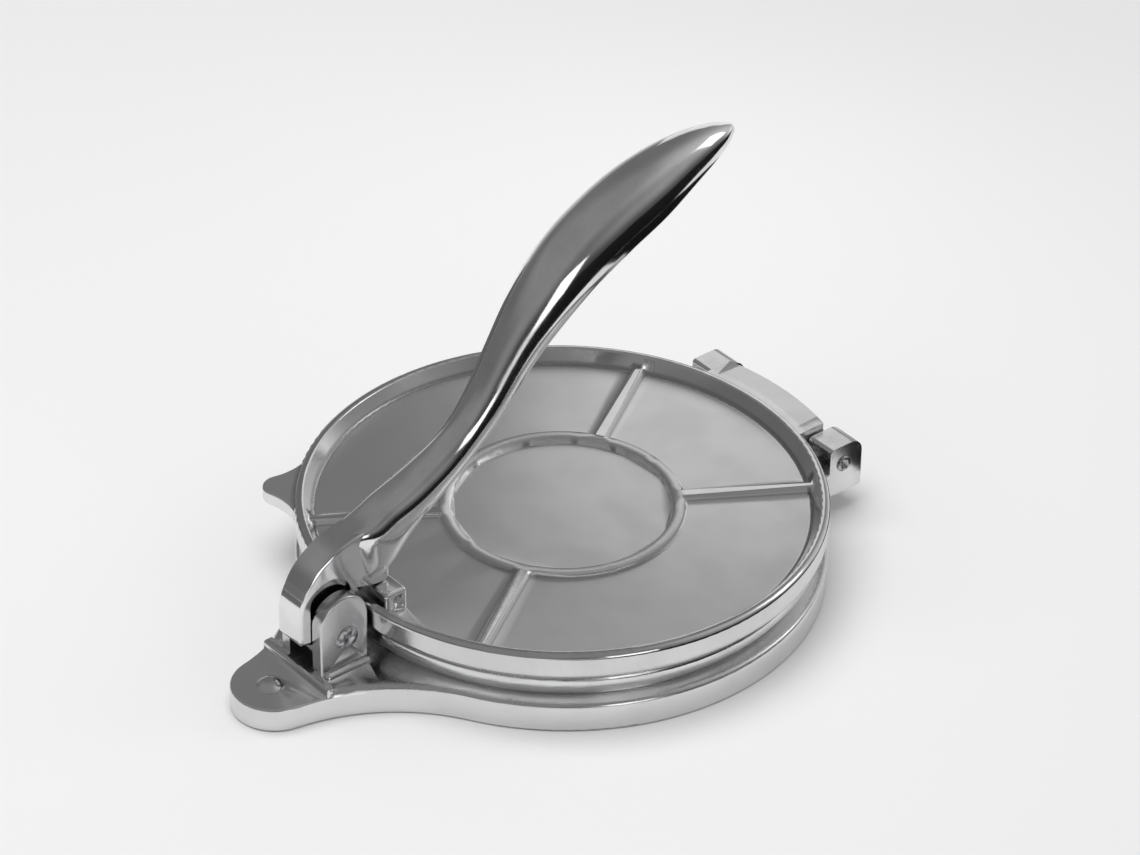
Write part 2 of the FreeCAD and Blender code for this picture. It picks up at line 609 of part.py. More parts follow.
def build_hinge_tab(body):
    """The tab behind the rim, with its knuckle round the hinge pin."""
    inner = "(plate_radius - rim_width / 2)"
    tab = new_sketch(body, "hinge_tab", "XY_Plane", f"{PLATE_TOP} - tab_height")
    arc_sector(tab, inner, "tab_reach", "tab_half_width")
    pad(body, tab, "tab_height")

    knuckle = new_sketch(body, "hinge_knuckle", "XZ_Plane")
    circle(knuckle, "hinge_distance", "hinge_height", "knuckle_radius")
    pad(body, knuckle, "2 * tab_half_width", both_ways=True)
    web = new_sketch(body, "knuckle_web", "XZ_Plane")
    low, high = "hinge_height", f"({PLATE_TOP} - tab_height / 2)"
    polygon(web, (("hinge_distance - knuckle_radius", low),
                  ("hinge_distance + knuckle_radius", low),
                  ("tab_reach - rim_round", high), ("hinge_distance - knuckle_radius", high)))
    pad(body, web, "2 * tab_half_width", both_ways=True)

    bore = new_sketch(body, "knuckle_bore", "XZ_Plane")
    circle(bore, "hinge_distance", "hinge_height", "hinge_pin_radius + running_fit")
    pocket(body, bore, "4 * tab_half_width", both_ways=True)


def arc_sector(sketch, inner, outer, half):
    """A band between two arcs about the origin, cut off at plus and minus half."""
    r_in, r_out, h = value(inner), value(outer), value(half)
    a_in, a_out = math.asin(h / r_in), math.asin(h / r_out)
    points = [Vector(math.sqrt(r ** 2 - h ** 2), side * h, 0)
              for r, side in ((r_in, -1), (r_out, -1), (r_out, 1), (r_in, 1))]
    sketch.addGeometry(Part.LineSegment(points[0], points[1]), False)
    sketch.addGeometry(arc(Vector(0, 0, 0), r_out, -a_out, a_out), False)
    sketch.addGeometry(Part.LineSegment(points[2], points[3]), False)
    sketch.addGeometry(arc(Vector(0, 0, 0), r_in, -a_in, a_in), False)
    for pair in ((0, 2, 1, 1), (1, 2, 2, 1), (2, 2, 3, 2), (3, 1, 0, 1)):
        sketch.addConstraint(Sketcher.Constraint("Coincident", *pair))
    for index, radius in ((1, outer), (3, inner)):
        sketch.addConstraint(Sketcher.Constraint("Coincident", index, 3, -1, 1))
        set_radius(sketch, index, radius)
    for index, side in ((0, "-"), (2, "")):
        sketch.addConstraint(Sketcher.Constraint("Horizontal", index))
        fix(sketch, "DistanceY", index, 1, f"{side}({half})")


def build_finger_tab(body):
    """The tab by which a finger lifts the plate."""
    top = f"({PLATE_TOP} - lift_drop)"
    tab = new_sketch(body, "finger_tab", "XY_Plane", f"{top} - lift_height", "lift_angle")
    lobe(tab, "plate_radius - lift_round", "lift_distance", "lift_tip_radius", "lift_blend")
    pad(body, tab, "lift_height")
    levels = (value(top), value(f"{top} - lift_height"))
    limit, reach = value("plate_radius"), value("lift_blend")
    turn, distance = math.radians(value("lift_angle")), value("lift_distance")
    tip = (distance * math.cos(turn), distance * math.sin(turn))

    def on_outline(edge):
        box = edge.BoundBox
        middle = edge.valueAt((edge.FirstParameter + edge.LastParameter) / 2)
        return (isinstance(edge.Curve, Part.Circle) and box.ZLength < SAME
                and any(near(box.ZMin, z) for z in levels)
                and math.hypot(middle.x, middle.y) > limit + SAME
                and math.dist((middle.x, middle.y), tip) < reach)
    round_edges(body, "finger_tab_edge", "lift_round", on_outline)


def build_press_lug(body):
    """The block on the rim that the handle's nose bears on, with a blind hole in each end."""
    lug = new_sketch(body, "press_lug", "XY_Plane", f"{PLATE_FLOOR} - dish_drop")
    ends = ("-lug_reach - lug_length / 2", "-lug_reach + lug_length / 2")
    polygon(lug, ((ends[0], "-lug_half_width"), (ends[1], "-lug_half_width"),
                  (ends[1], "lug_half_width"), (ends[0], "lug_half_width")))
    pad(body, lug, f"{LUG_TOP} - {PLATE_FLOOR} + dish_drop")
    top, side = value(LUG_TOP), value("lug_half_width")

    def outer_edge(edge):
        box = edge.BoundBox
        upright = near(abs(box.YMin), side) and box.YLength < SAME and box.XLength < SAME
        return near(box.ZMax, top) and (box.ZLength < SAME or upright)
    round_edges(body, "press_lug_edges", "lug_round", outer_edge)

    hole = new_sketch(body, "lug_hole", "XZ_Plane", "lug_half_width")
    circle(hole, "-lug_reach", f"{LUG_TOP} - lug_length / 2 + lug_round", "lug_hole_radius")
    mirror(body, pocket(body, hole, "lug_hole_depth"))


def build_handle():
    """The handle casting: a flat root between the ears, then a round neck and a fat grip."""
    root = new_body("handle_root")
    outline_handle_root(root)
    relieve_flanks(root)
    bore = new_sketch(root, "handle_bore", "XZ_Plane")
    circle(bore, "-pivot_distance", "pivot_height", "pivot_pin_radius + running_fit")
    pocket(root, bore, "2 * root_width", both_ways=True)

    sections = []
    for number, (along, up, lean, depth, width) in enumerate(SECTION_SHARES, start=1):
        section = doc.addObject("Part::Ellipse", f"handle_section_{number}")
        bind(section, MajorRadius=f"grip_radius * {depth}", MinorRadius=f"grip_radius * {width}",
             Placement__Base__x=f"{PLATE_X} - pivot_distance + handle_reach * {along}",
             Placement__Base__z=f"pivot_height + handle_rise * {up}",
             Placement__Rotation__Axis__y="1", Placement__Rotation__Axis__z="0",
             Placement__Rotation__Angle=f"90 - {lean}")
        sections.append(section)
    neck = doc.addObject("Part::Loft", "neck_and_grip")
    neck.Sections = sections
    neck.Solid = True

    handle = doc.addObject("Part::Fuse", "press_handle")
    handle.Base = root
    handle.Tool = neck
    handle.Refine = True
    handle.Label = "press_handle"
    return handle


def outline_handle_root(root):
    """The flat root: hub, heel in front of the ears and pressing nose over the plate's rim."""
    def at(x, z):
        return (f"-pivot_distance + ({x})", f"pivot_height + ({z})")
    heel, crown, nose = "heel_reach", "crown_height", "press_reach"
    corners = (
        at(f"-{heel}", "0"),
        at(f"-{heel}", f"{crown} * 0.4"),
        at(f"-{heel} * 0.64", f"{crown} * 0.73"),
        at("0", f"{crown} * 0.92"),
        at(f"{nose} * 0.5", crown),
        at(f"{nose} * 1.05", f"{crown} * 0.95"),
        at(nose, f"{NOSE_BOTTOM} + press_reach * 0.3"),
        at(nose, NOSE_BOTTOM),
        at(f"{nose} * 0.8", NOSE_BOTTOM),
        at("hub_radius", f"{NOSE_BOTTOM} + nose_round"),
        at("hub_radius * 0.6", "0"),
        at("-hub_radius * 0.6", "-hub_radius * 0.3"),
        at("-hub_radius * 1.35", "-hub_radius * 0.1"),
    )
    outline = new_sketch(root, "root_outline", "XZ_Plane")
    polygon(outline, corners)
    pad(root, outline, "root_width", both_ways=True)
    hub = new_sketch(root, "hub", "XZ_Plane")
    circle(hub, "-pivot_distance", "pivot_height", "hub_radius")
    pad(root, hub, "root_width", both_ways=True)
    round_edges(root, "root_rounding", f"min(root_round; crown_height * {ROUNDING_SHARE})",
                cross_edge(*corners[1:5]))
    round_edges(root, "nose_rounding", "nose_round", cross_edge(corners[0], corners[7]))
    half = value("root_width / 2")
    back = value(f"{corners[4][0]}")

    def flank_edge(edge):
        box = edge.BoundBox
        return (box.YLength < SAME and near(abs(box.YMin), half) and box.XMax < back + SAME
                and box.ZMax > value("pivot_height + hub_radius"))
    round_edges(root, "flank_edges", "root_edge", flank_edge)


def relieve_flanks(root):
    """A shallow arch sunk in each flank behind the ear, round a bearing boss."""
    middle = "(-pivot_distance - relief_offset)"
    relief = new_sketch(root, "flank_relief", "XZ_Plane", "root_width / 2")
    arched(relief, f"{middle} - relief_radius", f"{middle} + relief_radius",
           "pivot_height - 2 * hub_radius", "pivot_height + relief_rise + relief_radius")
    mirror(root, pocket(root, relief, "relief_depth"))
    boss = new_sketch(root, "bearing_boss", "XZ_Plane")
    circle(boss, "-pivot_distance", "pivot_height", "boss_radius")
    pad(root, boss, "root_width", both_ways=True)


def build_pin(label, distance, height, radius, head, outer):
    """A steel pin along Y with a peened end outside each ear."""
    body = new_body(label)
    shank = new_sketch(body, f"{label}_shank", "XZ_Plane")
    circle(shank, distance, height, radius)
    pad(body, shank, f"2 * {outer}", both_ways=True)
    end = new_sketch(body, f"{label}_end", "XZ_Plane", outer)
    circle(end, distance, height, head)
    mirror(body, pad(body, end, "head_height"))
    face, r = value(f"{outer} + head_height"), value(head)

    def rim(edge):
        curve = edge.Curve
        return (isinstance(curve, Part.Circle) and near(curve.Radius, r)
                and near(abs(curve.Center.y), face))
    round_edges(body, f"{label}_peening", "head_bevel", rim)
    return body


def check(objects):
    """Stop if anything in the document failed or a piece's shape is not one valid solid."""
    for obj in doc.Objects:
        if "Invalid" in obj.State or "Error" in obj.State:
            raise RuntimeError(f"{obj.Name} failed: {obj.State}")
    for obj in objects:
        shape = obj.Shape
        if shape.isNull() or not shape.isValid() or len(shape.Solids) != 1:
            raise RuntimeError(f"{obj.Label}: bad shape with {len(shape.Solids)} solids")


def main():
    """Build every piece, check it and write it out."""
    pieces = [
        build_base(),
        build_plate(),
        build_handle(),
        build_pin("handle_pivot_pin", "-pivot_distance", "pivot_height", "pivot_pin_radius",
                  "pivot_head_radius", BRACKET_OUTER),
        build_pin("hinge_pin", "hinge_distance", "hinge_height", "hinge_pin_radius",
                  "hinge_head_radius", HINGE_OUTER),
    ]
    doc.recompute()
    check(pieces)
    os.makedirs("parts", exist_ok=True)
    for piece in pieces:
        box = piece.Shape.BoundBox
        print(f"{piece.Label}: volume {piece.Shape.Volume / 1000:.1f} cm3, "
              f"X {box.XMin:.1f}..{box.XMax:.1f} Y {box.YMin:.1f}..{box.YMax:.1f} "
              f"Z {box.ZMin:.1f}..{box.ZMax:.1f}")
        piece.Shape.exportStep(f"parts/{piece.Label}.step")


main()
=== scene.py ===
"""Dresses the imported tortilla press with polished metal, and sets its floor, light and camera.

Lengths are in metres in the part's own frame: +X runs from the tongue to the plate's hinge,
+Y across the press and +Z up.
"""

from __future__ import annotations

import json
import logging
import math
from dataclasses import dataclass, field
from enum import Enum
from typing import Any

import bmesh
import bpy
import numpy as np
from mathutils import Matrix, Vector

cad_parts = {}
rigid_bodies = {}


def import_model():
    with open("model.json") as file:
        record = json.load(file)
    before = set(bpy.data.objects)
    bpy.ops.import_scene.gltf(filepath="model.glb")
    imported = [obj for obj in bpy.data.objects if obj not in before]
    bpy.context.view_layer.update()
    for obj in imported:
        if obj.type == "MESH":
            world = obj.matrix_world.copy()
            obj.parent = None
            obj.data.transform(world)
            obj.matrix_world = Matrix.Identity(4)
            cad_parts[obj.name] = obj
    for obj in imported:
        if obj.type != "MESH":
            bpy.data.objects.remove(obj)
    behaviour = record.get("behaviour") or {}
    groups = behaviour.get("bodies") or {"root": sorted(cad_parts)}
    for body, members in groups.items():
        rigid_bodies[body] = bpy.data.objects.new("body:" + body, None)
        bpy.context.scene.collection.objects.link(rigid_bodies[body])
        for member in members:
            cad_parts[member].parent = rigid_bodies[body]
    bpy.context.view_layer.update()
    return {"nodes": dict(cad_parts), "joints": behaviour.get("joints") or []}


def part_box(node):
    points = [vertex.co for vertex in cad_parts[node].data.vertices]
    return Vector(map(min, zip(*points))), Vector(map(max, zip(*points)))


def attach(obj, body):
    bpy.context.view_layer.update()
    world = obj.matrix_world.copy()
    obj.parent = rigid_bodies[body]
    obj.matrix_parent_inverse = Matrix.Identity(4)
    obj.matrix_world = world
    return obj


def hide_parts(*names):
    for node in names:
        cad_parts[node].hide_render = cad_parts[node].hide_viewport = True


LOG = logging.getLogger("tortilla_press")
Grid = np.ndarray

PLATE_AXIS_OFFSET = 0.018  # the middle of the press to the plates' axis
TONGUE_TIP_RADIUS = 0.017  # the round end of the tongue


class Body(Enum):
    """The bodies that pieces ride on."""

    BASE = "base"
    PLATE = "plate"
    HANDLE = "handle"


class Slot(Enum):
    """The record's material slots."""

    CASTING = "polished_casting"
    STEEL = "pin_steel"


class Signal:
    """A shader socket that takes part in Python arithmetic and adds its Math nodes."""

    def __init__(self, graph: "Graph", socket: Any) -> None:
        """Wraps an output socket of a graph."""
        self.graph = graph
        self.socket = socket

    def _math(self, operation: str, *values: Any) -> "Signal":
        """One Math node on these values."""
        return self.graph.node("ShaderNodeMath", {"operation": operation}, dict(enumerate(values)))

    def __add__(self, other: Any) -> "Signal":
        """Sum."""
        return self._math("ADD", self, other)

    def __radd__(self, other: Any) -> "Signal":
        """Sum with the socket on the right."""
        return self._math("ADD", other, self)

    def __sub__(self, other: Any) -> "Signal":
        """Difference."""
        return self._math("SUBTRACT", self, other)

    def __rsub__(self, other: Any) -> "Signal":
        """Difference with the socket on the right."""
        return self._math("SUBTRACT", other, self)

    def __mul__(self, other: Any) -> "Signal":
        """Product."""
        return self._math("MULTIPLY", self, other)

    def __rmul__(self, other: Any) -> "Signal":
        """Product with the socket on the right."""
        return self._math("MULTIPLY", other, self)

    def __pow__(self, other: Any) -> "Signal":
        """Power."""
        return self._math("POWER", self, other)

    def step(self, low: float, high: float) -> "Signal":
        """A smooth step from 0 at low to 1 at high.

        Args:
            low: The value below which the result is 0.
            high: The value above which the result is 1. It may be the smaller of the two.

        Returns:
            The smoothed mask.
        """
        settings = {"interpolation_type": "SMOOTHSTEP"}
        if low < high:
            return self.graph.node("ShaderNodeMapRange", settings, {0: self, 1: low, 2: high})
        return 1 - self.graph.node("ShaderNodeMapRange", settings, {0: self, 1: high, 2: low})


class Graph:
    """Builds one material's or world's node tree."""

    def __init__(self, tree: bpy.types.NodeTree) -> None:
        """Empties the tree."""
        self.tree = tree
        tree.nodes.clear()

    def node(self, kind: str, settings: dict[str, Any] | None = None,
             inputs: dict[Any, Any] | None = None, output: Any = 0) -> Signal:
        """Adds a node.

        Args:
            kind: The node's type.
            settings: Properties that are set first.
            inputs: Socket name or number to a value or a Signal.
            output: The output socket to return.

        Returns:
            The node's output as a Signal.
        """
        made = self.tree.nodes.new(kind)
        for name, setting in (settings or {}).items():
            setattr(made, name, setting)
        for name, value in (inputs or {}).items():
            if isinstance(value, Signal):
                self.tree.links.new(value.socket, made.inputs[name])
            else:
                made.inputs[name].default_value = value
        return Signal(self, made.outputs[output] if len(made.outputs) else None)

    def place(self) -> Signal:
        """Object coordinates."""
        return self.node("ShaderNodeTexCoord", output="Object")

    def axis(self, name: str) -> Signal:
        """One of the X, Y and Z Object coordinates."""
        return self.node("ShaderNodeSeparateXYZ", {}, {0: self.place()}, name)

    def stretched(self, scale: tuple[float, float, float]) -> Signal:
        """Object coordinates multiplied along each axis."""
        return self.node("ShaderNodeMapping", {}, {"Vector": self.place(), "Scale": scale})

    def noise(self, scale: float, detail: float = 2.0, where: Signal | None = None) -> Signal:
        """A smooth noise from 0 to 1.

        Args:
            scale: Cells for each metre.
            detail: Octaves of finer noise.
            where: The coordinates, which are Object coordinates if left out.

        Returns:
            The noise's value.
        """
        return self.node("ShaderNodeTexNoise", {}, {
            "Vector": where or self.place(), "Scale": scale, "Detail": detail}, "Fac")

    def mix_colour(self, factor: Signal, low: tuple[float, ...], high: tuple[float, ...]) -> Signal:
        """A colour between two by a factor."""
        return self.node("ShaderNodeMix", {"data_type": "RGBA"},
                         {"Factor": factor, 6: (*low, 1.0), 7: (*high, 1.0)}, 2)

    def bump(self, height: Signal, distance: float, strength: float,
             below: Signal | None = None) -> Signal:
        """A bump from a height of 0 to 1 that stands for a distance in metres."""
        inputs = {"Height": height, "Distance": distance, "Strength": strength}
        if below is not None:
            inputs["Normal"] = below
        return self.node("ShaderNodeBump", {}, inputs)


@dataclass(frozen=True)
class SatinRegion:
    """A ring round an upright axis, between two heights, that the polishing wheel left satin; in some rings
    its tone is painted shade, on the base's waist painted light.
    """

    axis_x: float
    inner: float
    outer: float
    low: float
    high: float
    # tone scales the base colour: the satin's own tone, but painted shade on the plate's wall and corners
    # and painted light on the base's waist
    tone: float = 1.0
    roughness: float = 0.34
    soft: float = 0.0005

    def mask(self, graph: Graph) -> Signal:
        """Marks the region.

        The mask is a product of smooth steps of the radius round the axis and of the height.

        Args:
            graph: The material's graph.

        Returns:
            One inside the region and zero outside it.
        """
        across = graph.axis("X") - self.axis_x
        radius = (across * across + graph.axis("Y") ** 2) ** 0.5
        height = graph.axis("Z")
        inside = radius.step(self.outer, self.outer - 2 * self.soft)
        if self.inner:
            inside = inside * radius.step(self.inner, self.inner + 2 * self.soft)
        return (inside * height.step(self.low, self.low + self.soft)
                * height.step(self.high, self.high - self.soft))


@dataclass(frozen=True)
class SpokeFootShade(SatinRegion):
    """Painted shade: a darker tone in the corners along both sides of the four spokes."""

    angle: float = math.radians(32.0)
    near: float = 0.0026
    far: float = 0.0040

    def mask(self, graph: Graph) -> Signal:
        """Marks the bands beside the spokes' two centre lines, within the region's ring.

        The distance from a centre line is X times its angle's sine less Y times its cosine.

        Args:
            graph: The material's graph.

        Returns:
            One in the bands and zero elsewhere.
        """
        along = (graph.axis("X") - self.axis_x) * math.sin(self.angle)
        across = graph.axis("Y") * math.cos(self.angle)
        bands = None
        for aside in (along - across, along + across):
            distance = (aside * aside) ** 0.5
            band = distance.step(self.near, self.near + self.soft) * distance.step(self.far, self.near)
            bands = band if bands is None else bands + band
        return super().mask(graph) * bands


@dataclass(frozen=True)
class PolishedAluminium:
    """Cast aluminium, polished bright, with satin regions where the polishing wheel can't reach, whose
    tones also hold painted shade and painted light.
    """

    name: str
    bright: tuple[float, float, float] = (0.86, 0.86, 0.865)
    dull: tuple[float, float, float] = (0.70, 0.70, 0.71)
    gloss: float = 0.10
    gloss_spread: float = 0.10
    ripple: float = 0.00022
    grain_depth: float = 0.000006
    scratch_depth: float = 0.000004
    patches_per_metre: float = 55.0
    grains_per_metre: float = 1400.0
    scratches_per_metre: float = 240.0
    scratch_stretch: tuple[float, float, float] = (1.0, 7.0, 1.0)
    ripples_per_metre: float = 38.0
    satin: tuple[SatinRegion, ...] = ()

    def build(self) -> bpy.types.Material:
        """Makes the material.

        Returns:
            A metal whose polish varies in soft patches, over shallow ripples and fine scratches.
        """
        material = bpy.data.materials.new(self.name)
        material.use_nodes = True
        graph = Graph(material.node_tree)
        patches = graph.noise(self.patches_per_metre, 4.0).step(0.35, 0.68)
        grain = graph.noise(self.grains_per_metre, 3.0)
        scratches = graph.noise(self.scratches_per_metre, 5.0,
                                graph.stretched(self.scratch_stretch)).step(0.52, 0.72)
        rough = self.gloss + self.gloss_spread * patches + 0.05 * scratches
        tone = 0.55 * patches + 0.25 * grain + 0.20 * scratches
        ripple = graph.noise(self.ripples_per_metre, 1.5)
        shade = None
        coarse = grain * 0.4
        for region in self.satin:
            mask = region.mask(graph)
            rough = rough * (1 - mask) + (region.roughness + 0.03 * patches) * mask
            tone = tone * (1 - mask) + (0.35 + 0.22 * patches + 0.15 * grain) * mask
            coarse = coarse + grain * 0.6 * mask
            # region tones multiply the colour: painted shade for the plate's wall and corners, painted
            # light for the base's waist
            part = 1 - (1 - region.tone) * mask
            shade = part if shade is None else shade * part
        normal = graph.bump(ripple, self.ripple, 1.0)
        normal = graph.bump(coarse, self.grain_depth, 0.6, normal)
        normal = graph.bump(scratches, self.scratch_depth, 0.35, normal)
        colour = graph.mix_colour(tone, self.bright, self.dull)
        if shade is not None:
            grey = graph.node("ShaderNodeCombineColor", {}, {0: shade, 1: shade, 2: shade})
            colour = graph.node("ShaderNodeMix", {"data_type": "RGBA", "blend_type": "MULTIPLY"},
                                {"Factor": 1.0, 6: colour, 7: grey}, 2)
        shader = graph.node("ShaderNodeBsdfPrincipled", {}, {
            "Base Color": colour, "Metallic": 1.0, "Roughness": rough, "Normal": normal})
        graph.node("ShaderNodeOutputMaterial", {}, {"Surface": shader})
        return material


@dataclass(frozen=True)
class PeenedSteel:
    """Plain steel whose ends were hammered over, grey with fine facets."""

    name: str
    bright: tuple[float, float, float] = (0.54, 0.54, 0.55)
    dull: tuple[float, float, float] = (0.17, 0.17, 0.18)
    roughness: float = 0.28
    facets_per_metre: float = 620.0
    facet_depth: float = 0.00035
    grime_per_metre: float = 500.0

    def build(self) -> bpy.types.Material:
        """Makes the material.

        Returns:
            A metal with the flat facets of hammer blows and darker patches of grime.
        """
        material = bpy.data.materials.new(self.name)
        material.use_nodes = True
        graph = Graph(material.node_tree)
        facets = graph.node("ShaderNodeTexVoronoi", {"feature": "SMOOTH_F1"}, {
            "Vector": graph.place(), "Scale": self.facets_per_metre, "Smoothness": 0.35}, "Distance")
        grime = graph.noise(self.grime_per_metre, 3.0).step(0.42, 0.70)
        normal = graph.bump(facets, self.facet_depth, 0.8)
        shader = graph.node("ShaderNodeBsdfPrincipled", {}, {
            "Base Color": graph.mix_colour(grime, self.bright, self.dull),
            "Metallic": 1.0, "Roughness": self.roughness + 0.2 * grime, "Normal": normal})
        graph.node("ShaderNodeOutputMaterial", {}, {"Surface": shader})
        return material


@dataclass
class Shell:
    """Gathers grids of points into one mesh of closed surfaces."""

    name: str
    points: list[Grid] = field(default_factory=list)
    faces: list[Grid] = field(default_factory=list)
    count: int = 0

    def add_tube(self, rings: Grid) -> None:
        """Adds a closed surface of rings, whose first and last rings shrink to their middles.

        Args:
            rings: Points as (ring, place round the ring, 3).
        """
        rows, columns, _ = rings.shape
        index = self.count + np.arange(rows * columns).reshape(rows, columns)
        after = np.roll(index, -1, axis=1)
        quads = np.stack([index[:-1], after[:-1], after[1:], index[1:]], axis=-1).reshape(-1, 4)
        low = self.count + rows * columns
        first = np.stack([np.full(columns, low), after[0], index[0]], axis=-1)
        last = np.stack([np.full(columns, low + 1), index[-1], after[-1]], axis=-1)
        ends = np.stack([rings[0].mean(axis=0), rings[-1].mean(axis=0)])
        self.points.append(np.vstack([rings.reshape(-1, 3), ends]))
        self.faces.extend([quads, first, last])
        self.count += rows * columns + 2

    def build(self, body: Body, slot: Slot, material: bpy.types.Material,
              sharp_degrees: float) -> bpy.types.Object:
        """Makes the mesh object, faces outwards, smooth but for its sharp edges.

        Args:
            body: The body it rides on.
            slot: The record's slot; not used.
            material: Its material.
            sharp_degrees: Edges that turn more than this stay crisp.

        Returns:
            The new object.
        """
        mesh = bpy.data.meshes.new(self.name)
        corners = [tuple(face) for block in self.faces for face in block.tolist()]
        mesh.from_pydata(np.vstack(self.points).tolist(), [], corners)
        mesh.validate()
        return dress(bpy.data.objects.new(self.name, mesh), body, material, sharp_degrees)


def dress(piece: bpy.types.Object, body: Body, material: bpy.types.Material,
          sharp_degrees: float) -> bpy.types.Object:
    """Links a piece, shades it smooth with crisp edges, and makes it ride on its body.

    Args:
        piece: The object, with its mesh.
        body: The body it rides on.
        material: Its material.
        sharp_degrees: Edges that turn more than this stay crisp.

    Returns:
        The same object.
    """
    if not piece.users_collection:
        bpy.context.scene.collection.objects.link(piece)
    piece.data.materials.clear()
    piece.data.materials.append(material)
    piece.data.shade_smooth()
    piece.data.set_sharp_from_angle(angle=math.radians(sharp_degrees))
    weighted = piece.modifiers.new("face_weighted_normals", "WEIGHTED_NORMAL")
    weighted.keep_sharp = True
    weighted.weight = 80
    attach(piece, body.value)
    return piece


def rounded_outline(corners: Grid, radii: Grid, steps: int) -> Grid:
    """A closed outline whose corners are arcs.

    Each corner's arc starts and ends where both edges are radius times the tangent of half the
    turn away from the corner.

    Args:
        corners: Corner points, anticlockwise, as (corner, 2).
        radii: The arc's radius at each corner.
        steps: Points along each arc.

    Returns:
        The outline's points.
    """
    into = corners - np.roll(corners, 1, axis=0)
    into = into / np.linalg.norm(into, axis=1, keepdims=True)
    out = np.roll(into, -1, axis=0)
    turn = np.arctan2(into[:, 0] * out[:, 1] - into[:, 1] * out[:, 0], (into * out).sum(axis=1))
    reach = radii * np.abs(np.tan(turn / 2))
    start = corners - into * reach[:, None]
    swept = np.linspace(0.0, 1.0, steps)[None, :] * turn[:, None]
    side = np.sign(turn)[:, None]
    normal = np.stack([-into[:, 1], into[:, 0]], axis=1) * side
    along = radii[:, None] * np.sin(np.abs(swept))
    inward = radii[:, None] * (1 - np.cos(swept))
    arcs = start[:, None, :] + along[..., None] * into[:, None, :] + inward[..., None] * normal[:, None, :]
    return arcs.reshape(-1, 2)


def evenly_by_angle(outline: Grid, centre: Grid, count: int) -> Grid:
    """The outline's points in evenly spaced directions from a centre that sees all of it.

    Each coordinate is interpolated between the outline's points by its direction's angle.

    Args:
        outline: Points round the centre as (point, 2).
        centre: The point that the directions start from.
        count: How many directions there are.

    Returns:
        The points as (count, 2).
    """
    away = outline - centre
    angle = np.unwrap(np.arctan2(away[:, 1], away[:, 0]))
    order = np.argsort(angle)
    angle, away = angle[order], away[order]
    wanted = angle[0] + np.linspace(0.0, 2 * np.pi, count, endpoint=False)
    closed_angle = np.append(angle, angle[0] + 2 * np.pi)
    closed = np.vstack([away, away[:1]])
    return centre + np.stack([np.interp(wanted, closed_angle, closed[:, k]) for k in (0, 1)], axis=1)


def smooth_through(stations: Grid, count: int) -> Grid:
    """Rows of numbers interpolated smoothly through stations.

    The curve is a cubic between neighbours, with each station's slope taken from the stations
    on both sides, and is sampled evenly along its length.

    Args:
        stations: Rows of numbers, of which the first two say how far apart the rows are.
        count: How many rows to return.

    Returns:
        The rows as (count, numbers).
    """
    place = np.append(0.0, np.cumsum(np.linalg.norm(np.diff(stations[:, :2], axis=0), axis=1)))
    slope = np.gradient(stations, place, axis=0)
    wanted = np.linspace(0.0, place[-1], count)
    left = np.clip(np.searchsorted(place, wanted, side="right") - 1, 0, len(place) - 2)
    width = place[left + 1] - place[left]
    part = ((wanted - place[left]) / width)[:, None]
    width = width[:, None]
    return ((1 + 2 * part) * (1 - part) ** 2 * stations[left]
            + part * (1 - part) ** 2 * width * slope[left]
            + part ** 2 * (3 - 2 * part) * stations[left + 1]
            + part ** 2 * (part - 1) * width * slope[left + 1])


# Along, up, lean in degrees, half depth and half width: shares of reach, rise and grip radius.
# The first three lie in the root, and squareness makes them as boxy as the root is.
GRIP_SHARES = (
    (0.031, 0.168, 10.0, 0.868, 0.444),
    (0.065, 0.182, 14.0, 0.862, 0.455),
    (0.093, 0.194, 17.5, 0.860, 0.575),
    (0.156, 0.253, 28.0, 0.720, 0.620),
    (0.238, 0.314, 30.0, 0.605, 0.588),
    (0.321, 0.387, 39.0, 0.545, 0.530),
    (0.390, 0.485, 49.0, 0.602, 0.590),
    (0.445, 0.590, 53.5, 0.685, 0.670),
    (0.507, 0.692, 47.5, 0.823, 0.807),
    (0.585, 0.789, 37.5, 0.940, 0.921),
    (0.679, 0.864, 27.5, 0.972, 0.953),
    (0.777, 0.919, 20.5, 0.922, 0.906),
    (0.865, 0.960, 16.0, 0.735, 0.720),
    (0.933, 0.982, 14.0, 0.510, 0.500),
    (0.977, 0.993, 13.0, 0.285, 0.280),
    (1.000, 0.998, 12.0, 0.090, 0.085),
)
SQUARENESS = (7.0, 6.0, 4.2, 2.7, 2.1)


